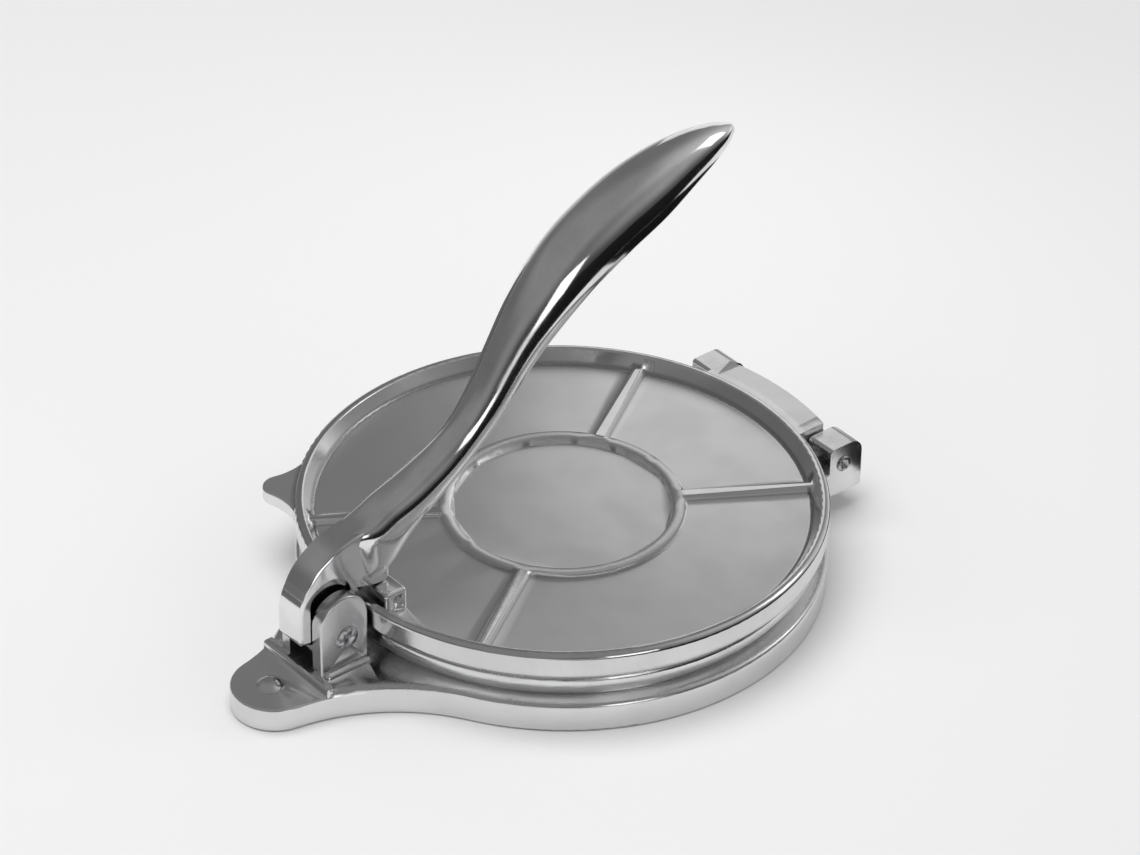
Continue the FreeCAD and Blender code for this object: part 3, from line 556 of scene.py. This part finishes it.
@dataclass
class PressHandle:
    """The lever: a flat root between the ears, a shouldered neck and a fat tapering grip."""

    pivot_x: float
    pivot_z: float
    reach: float = 0.193
    rise: float = 0.141
    grip_radius: float = 0.0145
    half_root: float = 0.0065
    edge: float = 0.0013
    edge_drop: float = 0.0008
    relief_depth: float = 0.0016
    relief_radius: float = 0.0092
    relief_offset: float = 0.003
    relief_rise: float = 0.015
    boss_radius: float = 0.0074
    hub_radius: float = 0.0094
    heel: float = 0.0175
    crown: float = 0.0385
    nose: float = 0.0245
    nose_bottom: float = 0.0125
    crown_round: float = 0.022
    corner_round: float = 0.0025
    boss_bevel: float = 0.0004
    relief_bevel: float = 0.0002
    edge_power: float = 1.6
    middle: tuple[float, float] = (-0.002, 0.022)

    def grip_rings(self, count: int = 220, around: int = 72) -> Grid:
        """Sections set square to the leaning handle, which turn from boxy to elliptical.

        A section is the curve where the sum of height over half depth and side over half width,
        each raised to its squareness, is one. The last few close as a quarter circle.

        Args:
            count: Sections along the grip.
            around: Points in each section.

        Returns:
            Rings as (section, point, 3).
        """
        shares = np.array(GRIP_SHARES)
        square = np.full(len(shares), 2.0)
        square[:len(SQUARENESS)] = SQUARENESS
        stations = np.column_stack([shares[:, 0] * self.reach, shares[:, 1] * self.rise,
                                    np.radians(shares[:, 2]), shares[:, 3:] * self.grip_radius, square])
        along, up, lean, depth, width, power = smooth_through(stations, count).T[:, :, None]
        left = np.linspace(1.0, 0.0, count)[:, None] * (self.reach + self.rise)
        close = np.clip(left / (self.grip_radius * 0.12), 0.0, 1.0)
        close = np.sqrt(1 - (1 - close) ** 2)
        turn = np.linspace(0.0, 2 * np.pi, around, endpoint=False)[None, :]
        high = depth * close * np.sign(np.cos(turn)) * np.abs(np.cos(turn)) ** (2 / power)
        side = width * close * np.sign(np.sin(turn)) * np.abs(np.sin(turn)) ** (2 / power)
        return np.stack([self.pivot_x + along - high * np.sin(lean),
                         side, self.pivot_z + up + high * np.cos(lean)], axis=-1)

    def root_outline(self) -> Grid:
        """The root seen from the side, round the pivot: hub, heel, crown and pressing nose.

        The corners are shares of the root's sizes, in X and Z from the pivot, rounded by arcs.

        Returns:
            The outline's points as (point, 2), anticlockwise.
        """
        heel, crown, nose, hub, low = self.heel, self.crown, self.nose, self.hub_radius, self.nose_bottom
        large, small = self.crown_round, self.corner_round
        corners = np.array([
            (-heel, 0.0), (-hub * 1.35, -hub * 0.1), (-hub, -hub), (hub, -hub),
            (hub, low + small), (nose * 0.8, low), (nose, low), (nose, low + nose * 0.3),
            (nose * 1.05, crown * 0.95), (nose * 0.5, crown), (0.0, crown * 0.92),
            (-heel * 0.64, crown * 0.73), (-heel, crown * 0.4)])
        radii = np.array([small, 0.0, hub * 0.99, hub * 0.99, 0.0, 0.0, small, 0.0,
                          0.0, large, large, large, large * 0.98])
        return rounded_outline(corners, radii, 16)

    def relief_outline(self) -> Grid:
        """The arch sunk in each flank, open towards the hub: a half circle on two straight legs.

        Returns:
            The outline's points as (point, 2), anticlockwise.
        """
        middle, radius = -self.relief_offset, self.relief_radius
        foot = -self.hub_radius * 0.96
        corners = np.array([(middle - radius, foot), (middle + radius, foot),
                            (middle + radius, self.relief_rise + radius),
                            (middle - radius, self.relief_rise + radius)])
        return rounded_outline(corners, np.array([1e-5, 1e-5, radius, radius]), 40)

    def root_rings(self, count: int = 320) -> Grid:
        """The root as rings from one flank's relief round its edge to the other flank's.

        Every ring is the outer or the arched outline. The edge between is ground by hand: its run
        and drop fall away as sine and cosine, each raised to a power, so it is nearly a flat bevel.

        Args:
            count: Points in each ring.

        Returns:
            Rings as (ring, point, 3).
        """
        centre = np.array(self.middle)
        outer = evenly_by_angle(self.root_outline(), centre, count)
        arch = evenly_by_angle(self.relief_outline(), centre, count)
        reach = np.linalg.norm(outer - centre, axis=1, keepdims=True)
        limit = np.clip(reach - 0.0004, 0.0, None)
        size = np.linalg.norm(arch - centre, axis=1, keepdims=True)
        arch = centre + (arch - centre) * np.minimum(size, limit) / size
        flank, floor = self.half_root, self.half_root - self.relief_depth
        quarter = np.linspace(0.0, np.pi / 2, 7)
        rings = [(arch * 0.5 + centre * 0.5, floor), (arch, floor), (arch, flank - self.relief_bevel)]
        rings.append((centre + (arch - centre) * (1 + self.relief_bevel / reach), flank))
        for angle in quarter:
            inset = self.edge * (1 - np.sin(angle) ** self.edge_power)
            rings.append((centre + (outer - centre) * (1 - inset / reach),
                          flank - self.edge_drop * (1 - max(np.cos(angle), 0.0) ** self.edge_power)))
        half = np.stack([np.column_stack([xz[:, 0], np.full(count, -y), xz[:, 1]]) for xz, y in rings])
        other = half[::-1].copy()
        other[..., 1] *= -1
        return np.concatenate([half, other]) + np.array([self.pivot_x, 0.0, self.pivot_z])

    def boss_rings(self) -> Grid:
        """The bearing boss inside the relief, through the whole root: a turned drum.

        Returns:
            Rings as (ring, point, 3).
        """
        radius, face, bevel = self.boss_radius, self.half_root, self.boss_bevel
        profile = [(radius - bevel, -face), (radius, -face + bevel),
                   (radius, face - bevel), (radius - bevel, face)]
        return turned_about_y(np.array(profile), self.pivot_x, self.pivot_z, 64)

    def build(self, finish: PolishedAluminium) -> bpy.types.Object:
        """Makes the handle, which stands for its CAD solid.

        Args:
            finish: The finish of the polished casting.

        Returns:
            The handle.
        """
        shell = Shell("press_handle_polished")
        shell.add_tube(self.grip_rings())
        shell.add_tube(self.root_rings())
        shell.add_tube(self.boss_rings())
        piece = shell.build(Body.HANDLE, Slot.CASTING, finish.build(), 32.0)
        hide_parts("press_handle")
        LOG.info("handle: %d points", shell.count)
        return piece


def turned_about_y(profile: Grid, x: float, z: float, around: int) -> Grid:
    """A profile of radius and Y turned about an axis along Y.

    Args:
        profile: Pairs of radius and Y, from low to high Y.
        x: The axis's X.
        z: The axis's Z.
        around: Points in each ring.

    Returns:
        Rings as (ring, place, 3).
    """
    turn = np.linspace(0.0, 2 * np.pi, around, endpoint=False)[None, :]
    radius, height = profile[:, :1], profile[:, 1:]
    return np.stack([x + radius * np.sin(turn), height + 0 * turn, z + radius * np.cos(turn)], axis=-1)


@dataclass
class PeenedPin:
    """A steel pin whose two ends are hammered into low domes with a punched dimple."""

    node: str
    x: float
    z: float
    shank_radius: float
    head_radius: float
    face: float
    head_height: float = 0.0009

    def profile(self) -> Grid:
        """Half the pin from its middle to one end: shank, head edge, dome and dimple.

        Returns:
            Pairs of radius and Y, the head's as shares of its radius and height.
        """
        shares = np.array([(1.0, 0.0), (1.0, 0.25), (0.97, 0.55), (0.90, 0.80), (0.76, 0.96),
                           (0.60, 1.0), (0.44, 0.97), (0.38, 0.80), (0.32, 0.55), (0.16, 0.45)])
        head = np.column_stack([shares[:, 0] * self.head_radius,
                                self.face + shares[:, 1] * self.head_height])
        shank = np.array([(self.shank_radius, 0.0), (self.shank_radius, self.face)])
        return np.vstack([shank, head])

    def build(self, finish: PeenedSteel) -> bpy.types.Object:
        """Makes the pin, which stands for its CAD solid.

        Args:
            finish: The finish of the hammered steel.

        Returns:
            The pin.
        """
        half = self.profile()
        other = half[::-1] * np.array([1.0, -1.0])
        shell = Shell(f"{self.node}_peened")
        shell.add_tube(turned_about_y(np.vstack([other[:-1], half]), self.x, self.z, 48))
        piece = shell.build(Body.BASE, Slot.STEEL, finish.build(), 50.0)
        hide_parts(self.node)
        LOG.info("pin: %s", self.node)
        return piece


@dataclass
class FootBead:
    """The rounded bead of metal where a bracket ear stands on the tongue."""

    side: int
    face: float
    pivot_x: float
    top: float = 0.0125
    front: float = 0.0113
    back: float = 0.0106
    radius: float = 0.0022
    sunk: float = 0.0004

    def rings(self) -> Grid:
        """Sections along the ear's foot.

        A section is a quarter circle from the tongue up to the ear, closed inside the metal, and
        shrinks at both ends as the sine of a quarter turn.

        Returns:
            Rings as (section, point, 3).
        """
        swept = np.linspace(0.05, np.pi / 2, 9)
        run = self.radius * (1 - np.cos(swept))
        along = np.concatenate([-self.front + run, (self.back - run)[::-1]])
        size = self.radius * np.concatenate([np.sin(swept), np.sin(swept)[::-1]])[:, None]
        turn = np.linspace(0.0, np.pi / 2, 13)[None, :]
        inside = np.full((len(along), 1), -self.sunk)
        out = np.hstack([size * np.cos(turn), inside, inside, size])
        up = np.hstack([size * np.sin(turn), size, inside, inside])
        rings = np.stack([self.pivot_x + along[:, None] + 0 * out, self.side * (self.face + out),
                          self.top + up], axis=-1)
        return rings if self.side > 0 else rings[:, ::-1]

    def build(self, finish: PolishedAluminium) -> bpy.types.Object:
        """Makes the bead.

        Args:
            finish: The finish of the polished casting.

        Returns:
            The bead.
        """
        shell = Shell("bracket_foot_left" if self.side > 0 else "bracket_foot_right")
        shell.add_tube(self.rings())
        return shell.build(Body.BASE, Slot.CASTING, finish.build(), 40.0)


@dataclass(frozen=True)
class Shoulder:
    """The skirt's rounded shoulder, fuller than a true arc away from the bar and the hinge."""

    axis_x: float
    foot: float = 0.0085
    radius: float = 0.0040
    inner: float = 0.0970
    outer: float = 0.1021
    bar: tuple[float, float] = (-0.1045, -0.1000)
    hinge: tuple[float, float] = (0.0300, 0.0400)
    power: float = 0.56
    first: float = 0.02
    last: float = 0.999
    least_out: float = 0.05
    least_up: float = -0.2

    def fill(self, mesh: bpy.types.Mesh) -> None:
        """Moves the shoulder's points from the arc to a fuller curve.

        The arc is radius times the cosine outwards and radius times the sine upwards. The fuller
        curve takes both to the power, and fades back to the arc at the bar and the hinge.

        Args:
            mesh: A copy of the base casting's mesh, with its points merged.
        """
        count = len(mesh.vertices)
        points = np.empty(3 * count, dtype=np.float32)
        normals = np.empty(3 * count, dtype=np.float32)
        mesh.vertices.foreach_get("co", points)
        mesh.vertices.foreach_get("normal", normals)
        points, normals = points.reshape(-1, 3), normals.reshape(-1, 3)
        x, y, z = points.T.copy()
        out = np.hypot(normals[:, 0], normals[:, 1])
        sine = (z - self.foot) / self.radius
        reach = np.hypot(x - self.axis_x, y)
        on_skirt = (reach > self.inner) & ((x < self.axis_x) | (reach < self.outer))
        sideways = (out > self.least_out) & (normals[:, 2] > self.least_up)
        on_arc = (sine > self.first) & (sine < self.last) & on_skirt & sideways
        sine = np.where(on_arc, sine, 1.0)
        cosine = np.sqrt(1 - sine ** 2)
        past_bar = np.clip((x - self.bar[0]) / (self.bar[1] - self.bar[0]), 0.0, 1.0)
        off_hinge = (np.abs(y) - self.hinge[0]) / (self.hinge[1] - self.hinge[0])
        share = past_bar * np.where(x > self.axis_x, np.clip(off_hinge, 0.0, 1.0), 1.0) * on_arc
        push = share * self.radius * (cosine ** self.power - cosine) / np.maximum(out, self.least_out)
        points[:, :2] += push[:, None] * normals[:, :2]
        points[:, 2] += share * self.radius * (sine ** self.power - sine)
        mesh.vertices.foreach_set("co", points.ravel())
        mesh.update()
        LOG.info("shoulder: %d points", int(on_arc.sum()))


@dataclass
class Casting:
    """A cast piece taken over from its CAD solid and shaded as one smooth skin."""

    node: str
    body: Body
    finish: PolishedAluminium
    shoulder: Shoulder | None = None
    weld: float = 0.00001
    sharp_degrees: float = 28.0

    def build(self, nodes: dict[str, bpy.types.Object]) -> bpy.types.Object:
        """Copies the solid's mesh, merges its loose triangles and dresses the copy.

        Args:
            nodes: The frame's CAD nodes by name.

        Returns:
            The dressed copy, which stands for the node.
        """
        source = nodes[self.node]
        mesh = source.data.copy()
        piece = bpy.data.objects.new(f"{self.node}_polished", mesh)
        bpy.context.scene.collection.objects.link(piece)
        merge_points(mesh, self.weld)
        if self.shoulder:
            self.shoulder.fill(mesh)
        dress(piece, self.body, self.finish.build(), self.sharp_degrees)
        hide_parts(self.node)
        LOG.info("casting: %s, %d faces", self.node, len(mesh.polygons))
        return piece


def merge_points(mesh: bpy.types.Mesh, distance: float) -> None:
    """Joins points that lie closer together than a distance and drops empty triangles.

    Args:
        mesh: The mesh to change.
        distance: Metres within which points are one.
    """
    work = bmesh.new()
    work.from_mesh(mesh)
    bmesh.ops.remove_doubles(work, verts=work.verts, dist=distance)
    bmesh.ops.dissolve_degenerate(work, edges=work.edges, dist=distance / 10)
    work.to_mesh(mesh)
    work.free()


def matt_sheet(name: str, low: tuple[float, float, float], high: tuple[float, float, float],
               tones: tuple[float, float]) -> bpy.types.Object:
    """A matt sheet between two corners, part of the stage.

    Args:
        name: The sheet's name.
        low: Its lowest X and Y, and its height.
        high: Its highest X and Y, and its height.
        tones: The darkest and the palest grey of its faint clouding.

    Returns:
        The sheet.
    """
    mesh = bpy.data.meshes.new(name)
    mesh.from_pydata([low, (high[0], low[1], low[2]), high, (low[0], high[1], high[2])],
                     [], [(0, 1, 2, 3)])
    sheet = bpy.data.objects.new(name, mesh)
    bpy.context.scene.collection.objects.link(sheet)
    material = bpy.data.materials.new(name)
    material.use_nodes = True
    graph = Graph(material.node_tree)
    shader = graph.node("ShaderNodeBsdfPrincipled", {}, {
        "Base Color": graph.mix_colour(graph.noise(3.0), (tones[0],) * 3, (tones[1],) * 3),
        "Roughness": 0.85, "Specular IOR Level": 0.1})
    graph.node("ShaderNodeOutputMaterial", {}, {"Surface": shader})
    mesh.materials.append(material)
    return sheet


@dataclass(frozen=True)
class Card:
    """A dark card just over the floor that shows only as a reflection in the polished metal."""

    name: str
    low: tuple[float, float]
    high: tuple[float, float]
    tone: float = 0.005
    height: float = 0.001

    def build(self) -> None:
        """Lays the card down, clouded by a fifth of its tone either way."""
        card = matt_sheet(self.name, (*self.low, self.height), (*self.high, self.height),
                          (0.8 * self.tone, 1.2 * self.tone))
        card.visible_camera = False
        card.visible_diffuse = False
        card.visible_shadow = False


@dataclass(frozen=True)
class Lamp:
    """A soft rectangular lamp that faces the press, in degrees round from +X and above the floor."""

    name: str
    azimuth: float
    elevation: float
    distance: float
    size: tuple[float, float]
    watts: float
    mirrored: bool = True

    def build(self) -> None:
        """Hangs the lamp, out of the camera's sight, and out of the metal's where not mirrored."""
        a, e = math.radians(self.azimuth), math.radians(self.elevation)
        away = np.array([math.cos(a) * math.cos(e), math.sin(a) * math.cos(e), math.sin(e)])
        light = bpy.data.lights.new(self.name, "AREA")
        light.shape = "RECTANGLE"
        light.size, light.size_y = self.size
        light.energy = self.watts
        lamp = bpy.data.objects.new(self.name, light)
        lamp.matrix_world = facing(away, away * self.distance)
        lamp.visible_glossy = self.mirrored
        lamp.visible_camera = False
        bpy.context.scene.collection.objects.link(lamp)


@dataclass(frozen=True)
class Glow:
    """A part of the surround round one direction that is lighter or dimmer than the rest."""

    towards: tuple[float, float, float]
    strength: float
    edge: tuple[float, float]
    height: tuple[float, float] | None = None

    def amount(self, parts: list[Signal]) -> Signal:
        """Works out the change of tone.

        The direction's X, Y and Z times towards, added up, go through a smooth step, and so does
        its Z where the part has a height.

        Args:
            parts: The direction's X, Y and Z.

        Returns:
            The strength in the middle of the part and zero outside it.
        """
        share = sum((parts[k] * self.towards[k] for k in (1, 2)), parts[0] * self.towards[0])
        amount = self.strength * share.step(*self.edge)
        return amount * parts[2].step(*self.height) if self.height else amount


@dataclass
class Studio:
    """A pale floor, a surround that is light on the right and dim elsewhere, and soft lamps."""

    floor_half: float = 3.0
    floor_tone: float = 0.88
    surround: float = 0.25
    lighter: tuple[Glow, ...] = (
        Glow((0.90, -0.42, 0.10), 0.34, (0.20, 0.90)),
        Glow((0.80, 0.60, 0.00), 0.30, (0.40, 0.80), (0.22, 0.02)))
    dimmer: tuple[Glow, ...] = (
        Glow((-0.80, 0.60, 0.00), 0.38, (0.35, 0.80), (0.62, 0.30)),
        Glow((0.20, -0.98, 0.00), 0.40, (0.50, 0.82)),
        Glow((0.53, 0.63, 0.57), 0.32, (0.62, 0.95)),
        Glow((0.20, -0.98, 0.00), 0.75, (0.30, 0.75), (0.45, 0.00)))
    cards: tuple[Card, ...] = (
        Card("black_card_front", (-0.14, -3.0), (3.0, -0.155)),
        Card("black_card_right", (0.150, -0.154), (0.27, 0.06)),
        Card("grey_card_back", (-1.2, 0.135), (0.10, 2.0), 0.13))
    lamps: tuple[Lamp, ...] = (
        Lamp("overhead", 150.0, 78.0, 1.8, (1.6, 1.6), 28.5, mirrored=False),
        Lamp("screen_back", 36.0, 32.0, 0.40, (0.18, 0.16), 0.056),
        Lamp("strip_front", -103.0, 11.0, 1.5, (0.48, 0.58), 1.3),
        Lamp("window_right", -25.0, 33.0, 1.3, (0.40, 0.48), 0.85))

    def world(self) -> None:
        """Makes the surround: one grey, plus its lighter parts, times one less each dimmer part."""
        world = bpy.data.worlds.new("studio")
        bpy.context.scene.world = world
        world.use_nodes = True
        graph = Graph(world.node_tree)
        towards = graph.node("ShaderNodeTexCoord", output="Generated")
        parts = [graph.node("ShaderNodeSeparateXYZ", {}, {0: towards}, name) for name in ("X", "Y", "Z")]
        level = self.surround
        for glow in self.lighter:
            level = level + glow.amount(parts)
        for glow in self.dimmer:
            level = level * (1 - glow.amount(parts))
        colour = graph.node("ShaderNodeCombineColor", {}, {0: level, 1: level, 2: level})
        background = graph.node("ShaderNodeBackground", {}, {"Color": colour, "Strength": 1.0})
        graph.node("ShaderNodeOutputWorld", {}, {"Surface": background})

    def build(self) -> None:
        """Sets the floor, the dark cards, the surround and the lamps."""
        half = self.floor_half
        matt_sheet("floor", (-half, -half, 0.0), (half, half, 0.0),
                   (self.floor_tone - 0.01, self.floor_tone + 0.01))
        for card in self.cards:
            card.build()
        self.world()
        for lamp in self.lamps:
            lamp.build()
        LOG.info("studio is set")


def facing(back: Grid, place: Grid, roll: float = 0.0) -> Matrix:
    """The pose of a camera or lamp that looks against a direction.

    Args:
        back: Unit vector from the subject to the camera.
        place: The camera's place.
        roll: Radians that the camera is turned clockwise about its view.

    Returns:
        The world matrix, whose columns are right, up, back and place.
    """
    right = np.cross(-back, [0.0, 0.0, 1.0])
    right /= np.linalg.norm(right)
    up = np.cross(right, -back)
    turned_right = right * math.cos(roll) + up * math.sin(roll)
    turned_up = up * math.cos(roll) - right * math.sin(roll)
    matrix = np.eye(4)
    matrix[:3] = np.column_stack([turned_right, turned_up, back, place])
    return Matrix(matrix.tolist())


@dataclass
class PhotoCamera:
    """The camera at the photograph's angle, worked out for a frame of 1140 by 855 pixels."""

    aim: tuple[float, float, float]
    aim_pixel: tuple[float, float] = (561.7, 534.9)
    frame_pixels: tuple[float, float] = (1140.0, 855.0)
    azimuth: float = -40.28
    elevation: float = 34.86
    roll: float = 1.02
    distance: float = 1.822
    pixels_per_metre: float = 2615.0
    sensor: float = 36.0

    def build(self) -> None:
        """Places the camera so that the aim point falls on its pixel."""
        a, e = math.radians(self.azimuth), math.radians(self.elevation)
        back = np.array([math.sin(a) * math.cos(e), -math.cos(a) * math.cos(e), math.sin(e)])
        focal = self.pixels_per_metre * self.distance
        axes = np.array(facing(back, np.zeros(3), math.radians(self.roll)))[:3, :3]
        middle = np.array(self.frame_pixels) / 2
        right = (self.aim_pixel[0] - middle[0]) / focal * self.distance
        up = (middle[1] - self.aim_pixel[1]) / focal * self.distance
        place = np.array(self.aim) - axes @ np.array([right, up, -self.distance])
        camera = bpy.data.cameras.new("photo_camera")
        camera.sensor_width = self.sensor
        camera.lens = self.sensor * focal / self.frame_pixels[0]
        camera.clip_end = 50.0
        piece = bpy.data.objects.new("photo_camera", camera)
        piece.matrix_world = facing(back, place, math.radians(self.roll))
        bpy.context.scene.collection.objects.link(piece)
        bpy.context.scene.camera = piece


def plate_finish(axis_x: float) -> PolishedAluminium:
    """The upper plate's finish.

    Args:
        axis_x: The plate's upright axis.

    Returns:
        Polished metal with a satin floor, ring and hinge tab, a wall greyed as painted shade and painted
        shade lines in the corners.
    """
    floor = SatinRegion(axis_x, inner=0.0, outer=0.0947, low=0.0275, high=0.0302, tone=1.12)
    ring = SatinRegion(axis_x, inner=0.0424, outer=0.0470, low=0.0301, high=0.0325, tone=1.12)
    tab = SatinRegion(axis_x, inner=0.1024, outer=0.1350, low=0.0200, high=0.0400, tone=1.18)
    # painted shade: the wall is greyed to stand in for the shade that the base casts on it
    wall = SatinRegion(axis_x, inner=0.1010, outer=0.1023, low=0.0215, high=0.0335, tone=0.74,
                       roughness=0.20)
    # painted shade: a dark line along the foot of the rim's slope, where it meets the floor
    rim_foot_shade = SatinRegion(axis_x, inner=0.0938, outer=0.0962, low=0.0280, high=0.0312, tone=0.55,
                           roughness=0.25)
    # painted shade: dark bands in the corners beside the spokes
    spoke_feet_shade = SpokeFootShade(axis_x, inner=0.0475, outer=0.0945, low=0.0285, high=0.0306, tone=0.55)
    return PolishedAluminium(
        "plate_polish", bright=(0.76, 0.76, 0.765), dull=(0.66, 0.66, 0.665), gloss_spread=0.05,
        satin=(floor, ring, tab, wall, rim_foot_shade, spoke_feet_shade))


def base_finish(axis_x: float, pivot_x: float, tongue_x: float) -> PolishedAluminium:
    """The base casting's finish.

    Args:
        axis_x: The plate's upright axis.
        pivot_x: The handle's pivot, between the bracket ears.
        tongue_x: The middle of the tongue's front part.

    Returns:
        Metal less polished than the rest, satin on the tongue, the skirt's wall, the waist and the bracket
        ears, with the waist lightened as painted light.
    """
    tongue = SatinRegion(tongue_x, inner=0.0, outer=0.0345, low=0.0095, high=0.0106, tone=1.25)
    skirt = SatinRegion(axis_x, inner=0.0, outer=0.2000, low=-0.0010, high=0.0112, tone=1.00,
                        roughness=0.24)
    # painted light: the waist, which lies in shade between the skirt and the plate, is lightened
    waist = SatinRegion(axis_x, inner=0.0930, outer=0.1005, low=0.0128, high=0.0200, tone=1.20,
                        roughness=0.38)
    ears = SatinRegion(pivot_x, inner=0.0, outer=0.0200, low=0.0145, high=0.0500, tone=0.86,
                       roughness=0.20)
    return PolishedAluminium("base_polish", bright=(0.78, 0.78, 0.785), dull=(0.66, 0.66, 0.665),
                             gloss=0.16, satin=(tongue, skirt, waist, ears))


def main() -> None:
    """Loads the frame, dresses each piece, and sets the studio and the camera."""
    logging.basicConfig(level=logging.INFO, format="%(name)s: %(message)s")
    bpy.ops.object.select_all(action="SELECT")
    bpy.ops.object.delete()
    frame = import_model()
    joints = {joint["name"]: joint["pos_m"] for joint in frame["joints"]}
    pivot, hinge = joints["handle_pivot"], joints["plate_hinge"]
    front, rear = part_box("base_casting")
    plate_x = (front.x + rear.x) / 2 + PLATE_AXIS_OFFSET
    tongue_x = front.x + TONGUE_TIP_RADIUS

    PressHandle(pivot[0], pivot[2]).build(PolishedAluminium("handle_polish", gloss=0.08, gloss_spread=0.06))
    Casting("upper_plate", Body.PLATE, plate_finish(plate_x)).build(frame["nodes"])
    Casting("base_casting", Body.BASE, base_finish(plate_x, pivot[0], tongue_x),
            Shoulder(plate_x)).build(frame["nodes"])
    for node, axis, shank, head in (("handle_pivot_pin", pivot, 0.004, 0.0048),
                                    ("hinge_pin", hinge, 0.0025, 0.0033)):
        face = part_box(node)[1].y - PeenedPin.head_height
        PeenedPin(node, axis[0], axis[2], shank, head, face).build(PeenedSteel(f"{node}_steel"))
    ear_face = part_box("handle_pivot_pin")[1].y - PeenedPin.head_height
    for side in (1, -1):
        bead = FootBead(side, ear_face, pivot[0]).build(PolishedAluminium("foot_polish", gloss=0.2))
        LOG.info("foot bead: %s", bead.name)

    Studio().build()
    PhotoCamera(aim=(plate_x, 0.0, 0.015)).build()
    bpy.context.scene.view_settings.view_transform = "Standard"


if __name__ == "__main__":
    main()
